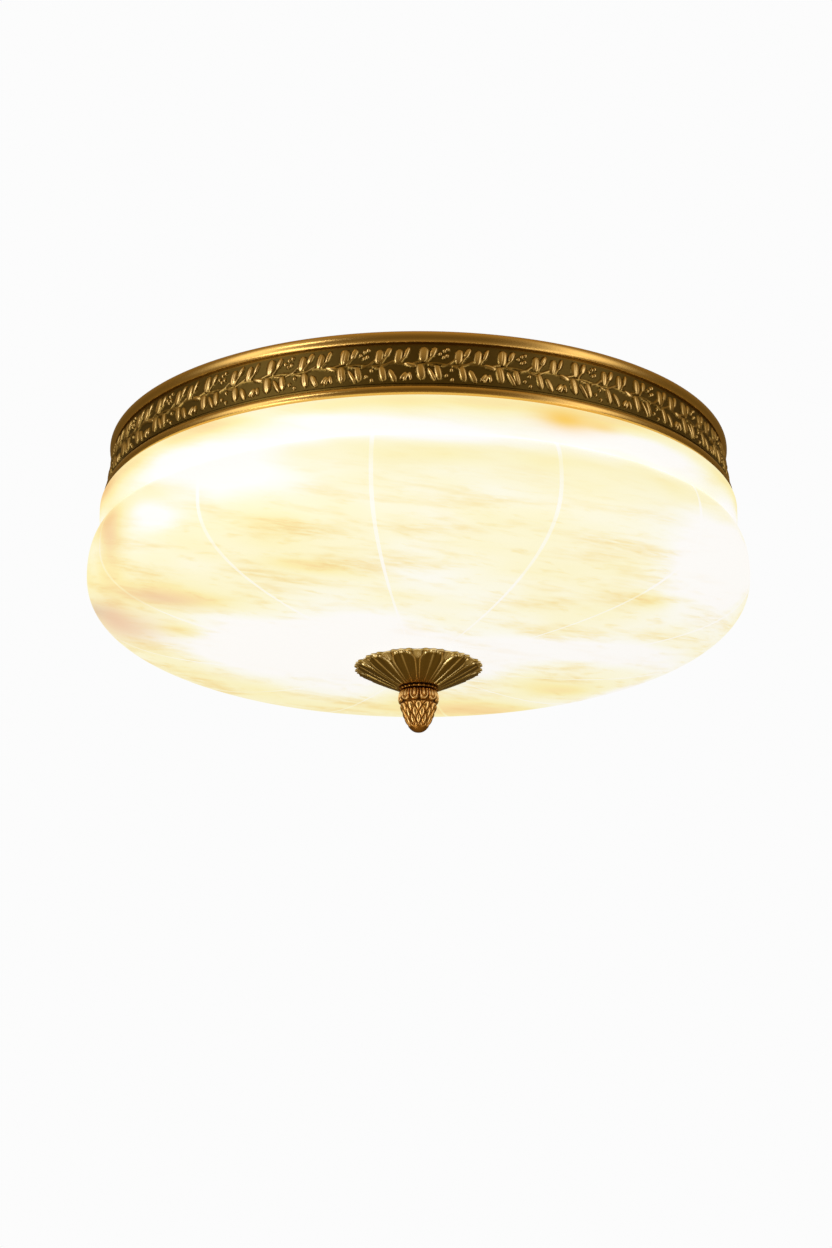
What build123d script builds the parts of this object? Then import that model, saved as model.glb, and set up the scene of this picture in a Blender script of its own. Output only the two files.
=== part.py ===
from build123d import *
import os
from math import cos, radians, sin

# A flush ceiling light. Twelve glued alabaster gores and a collar make a bowl, which a finial on
# a threaded rod draws up against a spun steel pan. An embossed brass band hides the pan, and four
# lamps stand out around the rod inside. Millimetres, +Z up, the ceiling is the plane z = 0 and
# the rod is on the Z axis. Angles are counted from +X, counterclockwise seen from above.

os.makedirs("parts", exist_ok=True)

FOOT = (Align.CENTER, Align.CENTER, Align.MIN)  # a box stands on its place

# ---- Clearances
SEAT_GAP = 0.3  # between pieces that part when the light is taken down
FIT_GAP = 0.05  # radial, a screw or rod in the hole it was drilled for
PASS_GAP = 0.5  # radial, a rod or stud through a sheet or washer

# ---- Alabaster bowl
BOWL_R = 250.0  # widest part of the bulge
STONE = 6.0  # wall of the stone
CREASE_INSET = 11.0  # from the bulge in to the crease under the collar
SHOULDER_SWELL = 3.2  # from the crease out to the collar's shoulder
NECK_INSET = 9.0  # from the shoulder in to the upright neck
RIM_LAP = 7.6  # how far the neck reaches up inside the band
SHOULDER_DROP = 9.1  # band's foot to the shoulder
SHOULDER_HEIGHT = 19.5  # shoulder to the crease
SHOULDER_ROUND = 4.5  # from the ledge under the band into the shoulder
INNER_ROUND = 2.0
BULGE_HEIGHT = 26.6  # crease to the widest part of the bulge
BOWL_DEPTH = 64.6  # widest part of the bulge to the underside
BOWL_FULLNESS = 2.63  # exponent of the underside's superellipse
BOWL_HOLE_R = 9.0
FLAT_R = 52.0  # flat middle that the washers and the rosette bear on
GORES = 12
SEAM_DEGREES = 0.69  # width of a resin seam, 3 mm at the bulge
FIRST_SEAM = -97.3  # the seam nearest to the room's view
PROFILE_STEPS = 8  # spans of the curve through the underside

# ---- Embossed brass band
BAND_HEIGHT = 48.9
BAND_GAP = 2.0  # around the stone neck
LIP_WALL = 4.8
LIP_HEIGHT = 7.2
BAND_TAPER = 6.3  # the foot's radius over the top's
BAND_WALL = 1.6
RELIEF = 1.8  # depth of the frieze under the beads
BEAD_HEIGHT = 8.8
BEAD_SWELL = 1.6  # how far the top bead stands out of its seat
GROOVE = 1.8  # height of the grooves above and below the frieze
GROOVE_DEPTH = 0.6
BAND_SCREWS = 6
FIRST_BAND_SCREW = 30.0
BOSS_R = 5.0
BOSS_DROP = 24.0  # ceiling to the bosses' axes

# ---- Spun steel pan and rim gasket
PAN_DROP = 12.0  # ceiling to the pan's roof
SHEET = 1.5
PAN_INSET = 5.2  # from the stone's inner face in to the pan's wall
FLANGE_LAP = 0.8  # the flange reaches past the stone's rim
GASKET_THICK = 3.0
GASKET_INSET = 0.5  # the gasket stays inside the stone's two faces

# ---- Strap on the ceiling
STRAP_LENGTH = 160.0
STRAP_WIDTH = 26.0
STRAP_THICK = 2.5
SLOT_SPACING = 88.0
SLOT_WIDTH = 5.0
SLOT_LENGTH = 16.0
STUD_SPACING = 140.0
STUD_R = 2.0
STUD_TAIL = 3.0  # stud left standing out of its nut
SPACER_WALL = 2.0

# ---- Hexagon nuts, flats across and height
M10_FLATS, M10_NUT = 17.0, 8.0
THIN_NUT = 5.0
M4_FLATS, M4_NUT = 7.0, 3.2
HEX = cos(radians(30.0))  # flat to corner of a hexagon

# ---- Rod
ROD_R = 5.0
ROD_HEAD = 1.0  # rod left standing out of the top nut
WASHER_R = 10.0
WASHER_THICK = 1.6

# ---- Cable entry, terminals and earth
GROMMET_Y = 62.0
GROMMET_BORE_R = 4.5
GROMMET_WALL = 2.0
GROMMET_LIP = 2.5
GROMMET_LIP_THICK = 1.5
TERMINAL_Y = 36.0
TERMINAL_SIZE = (40.0, 17.0, 14.0)
TERMINAL_PITCH = 10.0
TERMINAL_SCREW_R = 2.0
TERMINAL_WELL_R = 2.4
TERMINAL_WELL = 5.0
TERMINAL_SCREW = 3.4
TERMINAL_ROW = 8.0  # between the two rows of screws
EARTH_PLACE = (0.0, -40.0)
EARTH_SCREW_R = 2.5
EARTH_TAIL = 3.0  # screw left standing over the pan
EARTH_HEAD_R = 4.5
EARTH_HEAD = 3.0
EARTH_WASHER_R = 6.0
EARTH_WASHER = 1.0

# ---- Lamp brackets and holders
LAMPS = 4
FIRST_LAMP = 45.0
LAMP_DROP = 80.0  # ceiling to the lamps' axes
BRACKET_R = 44.0  # rod to the inner face of a bracket
BRACKET_THICK = 2.0
BRACKET_WIDTH = 20.0
BRACKET_FOOT = 22.0
BRACKET_TAIL = 17.0  # bracket below the lamp's axis
BRACKET_BEND_R = 3.0
BRACKET_SCREW_R = 2.0
BRACKET_SCREW_TAIL = 2.0
BRACKET_HEAD_R = 3.8
BRACKET_HEAD = 2.4
HOLDER_R = 20.0
HOLDER_LENGTH = 46.0
HOLDER_FLOOR = 8.0
HOLDER_WALL = 3.5
HOLDER_LIP = 1.5  # ring standing out around the mouth
HOLDER_LIP_LENGTH = 4.0
HOLDER_SCREW_R = 1.5
HOLDER_SCREW_DEPTH = 6.0
HOLDER_HEAD_R = 2.8
HOLDER_HEAD = 2.0
HOLDER_SCREW_SPACING = 13.0
SHELL_START = 2.0  # porcelain floor to the screw shell's turned foot
SHELL_LENGTH = 26.0
SHELL_WALL = 0.8
CONTACT_WIDTH = 6.0
CONTACT_THICK = 0.8

# ---- Lamps, screw cap of 27 mm and round globe
CAP_R = 13.2
CAP_GAP = 0.4  # around the cap in its screw shell
CAP_LENGTH = 27.0
CAP_WALL = 1.0
CAP_TIP_R = 4.5
CAP_TIP = 2.0
CAP_SHOULDER = 4.0
CAP_STANDOFF = 6.0  # holder's floor to the tip of the cap
LAMP_NECK = 31.0
GLOBE_R = 30.0
GLOBE_SEAT = 16.0  # globe's centre to the top of the neck
GLOBE_WALL = 1.2
COLLET_R = 14.0

# ---- Leads from the terminals to the holders
LEAD_R = 1.4
LEAD_DROP_R = 14.0  # rod to the leads that run down beside it
LEAD_HOLE_R = 3.0
LEAD_LEVEL = 20.5  # ceiling to the leads where they leave the terminals
LEAD_SLACK = 0.45  # share of the shorter run that an arc may take

# ---- Washers in the bowl, rosette and finial
BACKING_R = 45.0
BACKING_THICK = 2.0
RUBBER_THICK = 1.5
ROSETTE_R = 48.9
ROSETTE_DEPTH = 16.8
ROSETTE_WALL = 3.0
ROSETTE_FOOT_R = 15.0
ROSETTE_FOOT = 4.0
ROSETTE_FLARE = 7.0  # how far the cup's flank sags in under a straight line
PETALS = 12
FIRST_PETAL = -106.0
PETAL_NOTCH = 2.4
ROSETTE_LIP = 2.0
FELT_R = 42.0
FELT_WIDTH = 7.0
FELT_THICK = 2.0
FINIAL_NECK_R = 12.4
FINIAL_NECK = 2.6
FINIAL_R = 15.4
FINIAL_SHOULDER = 8.9  # finial's top to its widest part
FINIAL_TIP_R = 10.2  # where the taper turns into the round tip
FINIAL_TIP = 8.6
FINIAL_LENGTH = 34.0
THREAD_ENGAGED = 15.0
BORE_SPARE = 4.0

# ---- Heights, worked out from the sizes above
pan_roof = -PAN_DROP
pan_ceiling = pan_roof - SHEET  # the pan's underside, where the fittings are screwed
rim_z = -(BAND_HEIGHT - RIM_LAP)
gasket_foot = rim_z + SEAT_GAP
flange_foot = gasket_foot + GASKET_THICK
ledge_z = -(BAND_HEIGHT + SEAT_GAP)
shoulder_z = -(BAND_HEIGHT + SHOULDER_DROP)
crease_z = shoulder_z - SHOULDER_HEIGHT
bulge_z = crease_z - BULGE_HEIGHT
bowl_foot = bulge_z - BOWL_DEPTH
rosette_top = bowl_foot - SEAT_GAP
rosette_foot = rosette_top - ROSETTE_DEPTH
finial_top = rosette_foot - SEAT_GAP
finial_foot = finial_top - FINIAL_LENGTH
rod_foot = finial_top - THREAD_ENGAGED
lamp_z = -LAMP_DROP

# ---- Radii, worked out from the sizes above
crease_r = BOWL_R - CREASE_INSET
shoulder_r = crease_r + SHOULDER_SWELL
neck_r = shoulder_r - NECK_INSET
lip_bore_r = neck_r + BAND_GAP
band_foot_r = lip_bore_r + LIP_WALL
band_top_r = band_foot_r - BAND_TAPER
flange_r = neck_r + FLANGE_LAP
pan_r = neck_r - STONE - PAN_INSET
holder_back = BRACKET_R + BRACKET_THICK
holder_bore_r = HOLDER_R - HOLDER_WALL
cap_tip = holder_back + HOLDER_FLOOR + CAP_STANDOFF
cap_mouth = cap_tip + CAP_LENGTH
globe_seat = cap_mouth + LAMP_NECK
globe_rim_r = (GLOBE_R**2 - GLOBE_SEAT**2) ** 0.5

band_screw_angles = [FIRST_BAND_SCREW + 360.0 / BAND_SCREWS * n for n in range(BAND_SCREWS)]
lamp_angles = [FIRST_LAMP + 360.0 / LAMPS * n for n in range(LAMPS)]
stud_places = [Pos(side * STUD_SPACING / 2, 0, 0) for side in (-1, 1)]


def lathe(*edges, arc=360.0, start=0.0):
    """Turn a closed outline, drawn as radius and height, about the Z axis."""
    outline = Plane.XZ * make_face(list(edges))
    return Rot(0, 0, start) * revolve(outline, Axis.Z, arc)


def tube(outer, bore, top, foot):
    """Upright ring, washer or sleeve between two heights."""
    return Pos(0, 0, foot) * extrude(Circle(outer) - Circle(bore), top - foot)


def rod(radius, top, foot):
    """Upright round bar between two heights."""
    return Pos(0, 0, foot) * extrude(Circle(radius), top - foot)


def hex_nut(flats, bore, top, foot):
    """Upright hexagon nut between two heights."""
    outline = RegularPolygon(flats / 2 / HEX, 6) - Circle(bore)
    return Pos(0, 0, foot) * extrude(outline, top - foot)


def outwards(angle, z):
    """Place where local +Z points away from the rod, and local +X points down."""
    return Rot(0, 0, angle) * Pos(0, 0, z) * Rot(0, 90, 0)


def polar(radius, angle, z):
    return Vector(radius * cos(radians(angle)), radius * sin(radians(angle)), z)


def band_cone_r(z):
    """Radius of the band's outer cone at a height."""
    return band_top_r + BAND_TAPER * -z / BAND_HEIGHT


# ---- Strap, studs and pan


def mounting_strap():
    outline = SlotOverall(STRAP_LENGTH, STRAP_WIDTH)
    for side in (-1, 1):
        outline -= Pos(side * SLOT_SPACING / 2, 0) * SlotOverall(SLOT_LENGTH, SLOT_WIDTH)
        outline -= Pos(side * STUD_SPACING / 2, 0) * Circle(STUD_R + FIT_GAP)
    return Pos(0, 0, -STRAP_THICK) * extrude(outline, STRAP_THICK)


def stud_parts():
    """The studs pressed into the strap, the sleeves that space the pan, and the nuts under it."""
    nut_foot = pan_ceiling - M4_NUT
    studs = [place * rod(STUD_R, 0, nut_foot - STUD_TAIL) for place in stud_places]
    sleeve = tube(STUD_R + SPACER_WALL, STUD_R + FIT_GAP, -STRAP_THICK, pan_roof)
    nut = hex_nut(M4_FLATS, STUD_R + FIT_GAP, pan_ceiling, nut_foot)
    return studs, [place * sleeve for place in stud_places], [place * nut for place in stud_places]


def ceiling_pan():
    """Spun dish: flat roof, upright wall and a flange turned out over the stone's rim."""
    wall_r = pan_r - SHEET
    bore_r = ROD_R + PASS_GAP
    flange_top = flange_foot + SHEET
    outline = Polyline(
        (bore_r, pan_roof),
        (pan_r, pan_roof),
        (pan_r, flange_top),
        (flange_r, flange_top),
        (flange_r, flange_foot),
        (wall_r, flange_foot),
        (wall_r, pan_ceiling),
        (bore_r, pan_ceiling),
        close=True,
    )
    pan = lathe(outline)
    holes = [Pos(0, GROMMET_Y, 0) * rod(GROMMET_BORE_R + GROMMET_WALL, 0, pan_ceiling)]
    holes += [place * rod(STUD_R + PASS_GAP, 0, pan_ceiling) for place in stud_places]
    holes += [Pos(*EARTH_PLACE, 0) * rod(EARTH_SCREW_R + FIT_GAP, 0, pan_ceiling)]
    bracket_hole = rod(BRACKET_SCREW_R + FIT_GAP, 0, pan_ceiling)
    holes += [bracket_screw_place(angle) * bracket_hole for angle in lamp_angles]
    wall_hole = rod(STUD_R + PASS_GAP, pan_r + SHEET, wall_r - SHEET)
    holes += [outwards(angle, -BOSS_DROP) * wall_hole for angle in band_screw_angles]
    return pan - holes


def cable_grommet():
    """Rubber bush that grips the edge of the pan's hole between two lips."""
    neck_r_out = GROMMET_BORE_R + GROMMET_WALL
    lip_r = neck_r_out + GROMMET_LIP
    outline = Polyline(
        (GROMMET_BORE_R, pan_roof + GROMMET_LIP_THICK),
        (lip_r, pan_roof + GROMMET_LIP_THICK),
        (lip_r, pan_roof),
        (neck_r_out - FIT_GAP, pan_roof),
        (neck_r_out - FIT_GAP, pan_ceiling),
        (lip_r, pan_ceiling),
        (lip_r, pan_ceiling - GROMMET_LIP_THICK),
        (GROMMET_BORE_R, pan_ceiling - GROMMET_LIP_THICK),
        close=True,
    )
    return Pos(0, GROMMET_Y, 0) * lathe(outline)


def rim_gasket():
    outer = neck_r - GASKET_INSET
    return tube(outer, neck_r - STONE + GASKET_INSET, flange_foot, gasket_foot)


# ---- Brass band


def embossed_band():
    """Ring with a round bead on top, a sunk frieze between two grooves, and a heavy lip below."""
    bead_foot = -BEAD_HEIGHT
    frieze_top = bead_foot - GROOVE
    lip_top = -(BAND_HEIGHT - LIP_HEIGHT)
    frieze_foot = lip_top + GROOVE
    ground = {z: band_cone_r(z) - RELIEF for z in (0, bead_foot, frieze_top, frieze_foot, lip_top)}
    bead_r = ground[bead_foot]
    lip_round = LIP_HEIGHT / 2
    inner_top, inner_foot = ground[0] - BAND_WALL, ground[lip_top] - BAND_WALL
    bead = EllipticalCenterArc(
        (bead_r, bead_foot / 2), BEAD_SWELL + RELIEF, BEAD_HEIGHT / 2, start_angle=90, arc_size=-180
    )
    above = Polyline(
        bead @ 1,
        (bead_r - GROOVE_DEPTH, bead_foot),
        (ground[frieze_top] - GROOVE_DEPTH, frieze_top),
        (ground[frieze_top], frieze_top),
        (ground[frieze_foot], frieze_foot),
        (ground[frieze_foot] - GROOVE_DEPTH, frieze_foot),
        (ground[lip_top] - GROOVE_DEPTH, lip_top),
        (band_foot_r - lip_round, lip_top),
    )
    lip = ThreePointArc(
        above @ 1, (band_foot_r, lip_top - lip_round), (band_foot_r - lip_round, -BAND_HEIGHT)
    )
    inside = Polyline(
        lip @ 1,
        (lip_bore_r, -BAND_HEIGHT),
        (lip_bore_r, lip_top),
        (inner_foot, lip_top),
        (inner_top, 0),
        bead @ 0,
    )
    ring = lathe(bead, above, lip, inside)
    boss_end = band_cone_r(-BOSS_DROP) - RELIEF - BAND_WALL / 2
    boss = rod(BOSS_R, boss_end, pan_r + FIT_GAP)
    hole = rod(STUD_R + FIT_GAP, boss_end - BAND_WALL, pan_r)
    ring += [outwards(angle, -BOSS_DROP) * boss for angle in band_screw_angles]
    return ring - [outwards(angle, -BOSS_DROP) * hole for angle in band_screw_angles]


def band_screws():
    """Pan-head screws from inside the pan into the band's bosses."""
    head_face = pan_r - SHEET - FIT_GAP * 2
    shank_end = band_cone_r(-BOSS_DROP) - RELIEF - BAND_WALL * 2
    screw = rod(STUD_R, shank_end, head_face) + rod(BRACKET_HEAD_R, head_face, head_face - BRACKET_HEAD)
    return [outwards(angle, -BOSS_DROP) * screw for angle in band_screw_angles]


# ---- Rod with its nuts and washers


def rod_parts():
    """The rod, the washers each side of the pan's roof, and the two nuts that clamp it."""
    upper_seat = pan_roof + WASHER_THICK
    lower_seat = pan_ceiling - WASHER_THICK
    bar = rod(ROD_R, upper_seat + THIN_NUT + ROD_HEAD, rod_foot)
    spans = [(upper_seat, pan_roof), (pan_ceiling, lower_seat)]
    washers = [tube(WASHER_R, ROD_R + PASS_GAP, top, foot) for top, foot in spans]
    nuts = [
        hex_nut(M10_FLATS, ROD_R + FIT_GAP, upper_seat + THIN_NUT, upper_seat),
        hex_nut(M10_FLATS, ROD_R + FIT_GAP, lower_seat, lower_seat - M10_NUT),
    ]
    return bar, washers, nuts


# ---- Terminals and earth


def terminal_wells():
    """Centres of the terminal block's screw wells, on its lower face."""
    ways = range(LAMPS)
    columns = [(way - (LAMPS - 1) / 2) * TERMINAL_PITCH for way in ways]
    return [(x, TERMINAL_Y + side * TERMINAL_ROW / 2) for x in columns for side in (-1, 1)]


def terminal_block():
    length, width, height = TERMINAL_SIZE
    foot = pan_ceiling - height
    block = Pos(0, TERMINAL_Y, foot) * extrude(Rectangle(length, width), height)
    block = chamfer(block.edges().filter_by(Axis.Z), 1.0)
    well = rod(TERMINAL_WELL_R, foot + TERMINAL_WELL, foot)
    for way in range(LAMPS - 1):
        cut_x = (way - (LAMPS - 2) / 2) * TERMINAL_PITCH
        block -= Pos(cut_x, TERMINAL_Y, foot) * Box(1.0, width, TERMINAL_WELL * 2)
    return block - [Pos(*place, 0) * well for place in terminal_wells()]


def terminal_screws():
    """Brass clamping screws at the bottom of their wells, each with a driver slot."""
    seat = pan_ceiling - TERMINAL_SIZE[2] + TERMINAL_WELL
    screw = rod(TERMINAL_SCREW_R, seat, seat - TERMINAL_SCREW)
    screw -= Pos(0, 0, seat - TERMINAL_SCREW) * Box(TERMINAL_SCREW_R * 2, 0.8, 1.4)
    return [Pos(*place, 0) * screw for place in terminal_wells()]


def earth_screw():
    """Brass screw for the supply's earth, with its washer, through the pan's roof."""
    washer_foot = pan_ceiling - EARTH_WASHER
    head_foot = washer_foot - EARTH_HEAD
    shank = rod(EARTH_SCREW_R, pan_roof + EARTH_TAIL, head_foot)
    head = rod(EARTH_HEAD_R, washer_foot, head_foot)
    head -= Pos(0, 0, head_foot) * Box(EARTH_HEAD_R * 2, 1.2, 2.4)
    shank -= Pos(0, 0, head_foot) * Box(EARTH_HEAD_R * 2, 1.2, 2.4)
    washer = tube(EARTH_WASHER_R, EARTH_SCREW_R + FIT_GAP, pan_ceiling, washer_foot)
    return [Pos(*EARTH_PLACE, 0) * (shank + head), Pos(*EARTH_PLACE, 0) * washer]


# ---- Lamp brackets and holders


def bracket_screw_place(angle):
    foot_middle = BRACKET_R + (BRACKET_THICK + BRACKET_FOOT) / 2
    return Rot(0, 0, angle) * Pos(foot_middle, 0, 0)


def holder_screw_places(angle):
    """Places on a bracket's inner face, local +Z away from the rod, one each side of the lead."""
    spread = HOLDER_SCREW_SPACING / 2
    return [outwards(angle, lamp_z) * Pos(0, side * spread, 0) for side in (-1, 1)]


def lamp_bracket(angle):
    """Bent strip: its foot is screwed up to the pan and its leg carries the holder."""
    foot_z = pan_ceiling - BRACKET_THICK
    tail_z = lamp_z - BRACKET_TAIL
    far = BRACKET_R + BRACKET_FOOT
    outline = Polyline(
        (BRACKET_R, pan_ceiling),
        (far, pan_ceiling),
        (far, foot_z),
        (holder_back, foot_z),
        (holder_back, tail_z),
        (BRACKET_R, tail_z),
        close=True,
    )
    strip = extrude(Plane.XZ * make_face(outline), BRACKET_WIDTH / 2, both=True)
    across = strip.edges().filter_by(Axis.Y)
    strip = fillet(across.filter_by_position(Axis.Z, foot_z, foot_z).sort_by(Axis.X)[0], BRACKET_BEND_R)
    strip = Rot(0, 0, angle) * strip
    strip -= bracket_screw_place(angle) * rod(BRACKET_SCREW_R + FIT_GAP, pan_ceiling, foot_z)
    strip -= outwards(angle, lamp_z) * rod(LEAD_HOLE_R, holder_back, BRACKET_R)
    hole = rod(HOLDER_SCREW_R + FIT_GAP, holder_back, BRACKET_R)
    return strip - [place * hole for place in holder_screw_places(angle)]


def bracket_screw(angle):
    head_top = pan_ceiling - BRACKET_THICK
    shank = rod(BRACKET_SCREW_R, pan_roof + BRACKET_SCREW_TAIL, head_top)
    head = rod(BRACKET_HEAD_R, head_top, head_top - BRACKET_HEAD)
    return bracket_screw_place(angle) * (shank + head)


def lamp_holder(angle):
    """Porcelain cup with a thick floor and a ring around its mouth."""
    floor = holder_back + HOLDER_FLOOR
    mouth = holder_back + HOLDER_LENGTH
    lip_r = HOLDER_R + HOLDER_LIP
    lip_back = mouth - HOLDER_LIP_LENGTH
    outline = Polyline(
        (0, holder_back),
        (HOLDER_R, holder_back),
        (HOLDER_R, lip_back),
        (lip_r, lip_back),
        (lip_r, mouth),
        (holder_bore_r, mouth),
        (holder_bore_r, floor),
        (0, floor),
        close=True,
    )
    hole = rod(HOLDER_SCREW_R + FIT_GAP, holder_back + HOLDER_SCREW_DEPTH, holder_back)
    cup = outwards(angle, lamp_z) * lathe(outline)
    return cup - [place * hole for place in holder_screw_places(angle)]


def holder_screws(angle):
    end = holder_back + HOLDER_SCREW_DEPTH - FIT_GAP
    screw = rod(HOLDER_SCREW_R, end, BRACKET_R) + rod(HOLDER_HEAD_R, BRACKET_R, BRACKET_R - HOLDER_HEAD)
    return [place * screw for place in holder_screw_places(angle)]


def holder_contacts(angle):
    """Threaded brass shell, drawn here as a plain sleeve with a turned foot, and centre tongue."""
    floor = holder_back + HOLDER_FLOOR
    bore = CAP_R + CAP_GAP
    foot_r = holder_bore_r - FIT_GAP * 4
    shell = tube(bore + SHELL_WALL, bore, floor + SHELL_START + SHELL_LENGTH, floor)
    shell += tube(foot_r, bore, floor + SHELL_WALL, floor)
    riser = Pos(0, 0, floor) * Box(CONTACT_THICK, CONTACT_WIDTH, CAP_STANDOFF - SEAT_GAP, align=FOOT)
    blade_at = cap_tip - SEAT_GAP - CONTACT_THICK
    blade = Pos(0, 0, blade_at) * Box(CONTACT_WIDTH, CONTACT_WIDTH, CONTACT_THICK, align=FOOT)
    place = outwards(angle, lamp_z)
    return [place * shell, place * (riser + blade)]


# ---- Lamps


def lamp_pieces(angle):
    """Hollow screw cap with its tip, solid neck with the driver, and thin round globe."""
    place = outwards(angle, lamp_z)
    cap_back = cap_tip + CAP_TIP
    cap_edge = cap_back + CAP_SHOULDER
    cap_outline = Polyline(
        (0, cap_tip),
        (CAP_TIP_R, cap_tip),
        (CAP_TIP_R, cap_back),
        (CAP_R, cap_edge),
        (CAP_R, cap_mouth),
        (CAP_R - CAP_WALL, cap_mouth),
        (CAP_R - CAP_WALL, cap_edge + CAP_WALL),
        (CAP_TIP_R, cap_back + CAP_WALL),
        (0, cap_back + CAP_WALL),
        close=True,
    )
    collet_end = holder_back + HOLDER_LENGTH + SEAT_GAP
    flank = Spline(
        (COLLET_R, collet_end),
        (globe_rim_r, globe_seat),
        tangents=[(0, 1), (GLOBE_SEAT, globe_rim_r)],
    )
    neck_edge = Polyline(
        flank @ 1, (0, globe_seat), (0, cap_mouth), (COLLET_R, cap_mouth), (COLLET_R, collet_end)
    )
    ball = Pos(0, 0, globe_seat + GLOBE_SEAT) * (Sphere(GLOBE_R) - Sphere(GLOBE_R - GLOBE_WALL))
    globe = split(ball, bisect_by=Plane.XY.offset(globe_seat), keep=Keep.TOP)
    return place * lathe(cap_outline), place * lathe(flank, neck_edge), place * globe


# ---- Leads


def lead_path(way, angle):
    """From a terminal, in past the rod's nut, down beside the rod and out into a holder's back."""
    start_x = (way - (LAMPS - 1) / 2) * TERMINAL_PITCH
    start_y = TERMINAL_Y - TERMINAL_SIZE[1] / 2
    down = polar(LEAD_DROP_R, angle, lamp_z)
    bend_z = (lamp_z - LEAD_LEVEL) / 2
    near = start_y - (start_y - down.Y) / 2
    points = [
        Vector(start_x, start_y, -LEAD_LEVEL),
        Vector(start_x, near, -LEAD_LEVEL),
        Vector(down.X, down.Y, bend_z),
        down,
        polar(holder_back, angle, lamp_z),
    ]
    runs = [b - a for a, b in zip(points, points[1:])]
    radii = []
    for before, after in zip(runs, runs[1:]):
        half_turn = radians(before.get_angle(after)) / 2
        radii.append(LEAD_SLACK * min(before.length, after.length) * cos(half_turn) / sin(half_turn))
    print(f"lead {way + 1} arcs, mm:", ", ".join(f"{radius:.1f}" for radius in radii))
    return FilletPolyline(*points, radius=radii)


def lamp_leads():
    """One sleeved pair for each holder; the outer terminals feed the holders past the rod."""
    order = sorted(lamp_angles, key=lambda angle: (cos(radians(angle)), sin(radians(angle))))
    ways = {0: order[0], 1: order[1], 2: order[3], 3: order[2]}
    leads = []
    for way, angle in ways.items():
        path = lead_path(way, angle)
        leads.append(sweep(Plane(path @ 0, z_dir=path % 0) * Circle(LEAD_R), path=path))
    return leads


# ---- Stone


def underside(radius, depth, foot):
    """Curve from the widest part to the flat middle: a superellipse, full at the corner."""
    reach = [FLAT_R / radius * n / PROFILE_STEPS + (1 - n / PROFILE_STEPS) for n in range(PROFILE_STEPS)]
    points = [
        (share * radius, bulge_z - depth * (1 - share**BOWL_FULLNESS) ** (1 / BOWL_FULLNESS))
        for share in reach
    ]
    return Spline(*points, (FLAT_R, foot), tangents=[(0, -1), (-1, 0)])


def gore_outline():
    """Section of the bulge and underside, from the crease in to the bowl's hole."""
    inner_r = BOWL_R - STONE
    inner_crease = crease_r - STONE
    inner_foot = bowl_foot + STONE
    outer_top = EllipticalCenterArc(
        (crease_r, bulge_z), CREASE_INSET, BULGE_HEIGHT, start_angle=90, arc_size=-90
    )
    inner_top = EllipticalCenterArc(
        (inner_crease, bulge_z), CREASE_INSET, BULGE_HEIGHT, start_angle=90, arc_size=-90
    )
    outer = underside(BOWL_R, BOWL_DEPTH, bowl_foot)
    inner = underside(inner_r, BOWL_DEPTH - STONE, inner_foot)
    middle = Polyline(
        (FLAT_R, bowl_foot), (BOWL_HOLE_R, bowl_foot), (BOWL_HOLE_R, inner_foot), (FLAT_R, inner_foot)
    )
    top = Line((inner_crease, crease_z), (crease_r, crease_z))
    return [outer_top, outer, middle, inner, inner_top, top]


def collar_face(inset, ledge, round_r):
    """One face of the collar: neck, ledge, shoulder and tuck down to the crease."""
    neck, shoulder, crease = neck_r - inset, shoulder_r - inset, crease_r - inset
    steps = Polyline((neck, rim_z), (neck, ledge), (shoulder - round_r, ledge))
    corner = CenterArc((shoulder - round_r, ledge - round_r), round_r, start_angle=90, arc_size=-90)
    side = Line(corner @ 1, (shoulder, shoulder_z))
    tuck = EllipticalCenterArc(
        (crease, shoulder_z), SHOULDER_SWELL, SHOULDER_HEIGHT, start_angle=0, arc_size=-90
    )
    return [steps, corner, side, tuck]


def alabaster_collar():
    """Neck, shoulder and tuck down to the crease, turned in one piece."""
    outer = collar_face(0, ledge_z, SHOULDER_ROUND)
    inner = collar_face(STONE, ledge_z - STONE, INNER_ROUND)
    rim = Line((neck_r - STONE, rim_z), (neck_r, rim_z))
    crease = Line((crease_r - STONE, crease_z), (crease_r, crease_z))
    return lathe(*outer, *inner, rim, crease)


def gore(number):
    start = FIRST_SEAM + 360.0 / GORES * number + SEAM_DEGREES / 2
    return lathe(*gore_outline(), arc=360.0 / GORES - SEAM_DEGREES, start=start)


def seam_strips():
    starts = [FIRST_SEAM + 360.0 / GORES * n - SEAM_DEGREES / 2 for n in range(GORES)]
    return [lathe(*gore_outline(), arc=SEAM_DEGREES, start=start) for start in starts]


# ---- Washers, rosette and finial


def bowl_washers():
    """Rubber ring on the stone inside the bowl, and the steel plate over it."""
    stone_top = bowl_foot + STONE
    rubber_top = stone_top + RUBBER_THICK
    rubber = tube(BACKING_R, BOWL_HOLE_R, rubber_top, stone_top)
    return rubber, tube(BACKING_R, ROD_R + PASS_GAP, rubber_top + BACKING_THICK, rubber_top)


def petal_outline():
    """Twelve round lobes in plan, for the rosette's rim."""
    pitch = 360.0 / PETALS
    valley_r = ROSETTE_R - PETAL_NOTCH
    lobes = []
    for n in range(PETALS):
        middle = FIRST_PETAL + pitch * n
        ends = [polar(valley_r, middle + side * pitch / 2, 0) for side in (-1, 1)]
        lobes.append(ThreePointArc(ends[0], polar(ROSETTE_R, middle, 0), ends[1]))
    return make_face(lobes)


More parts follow.
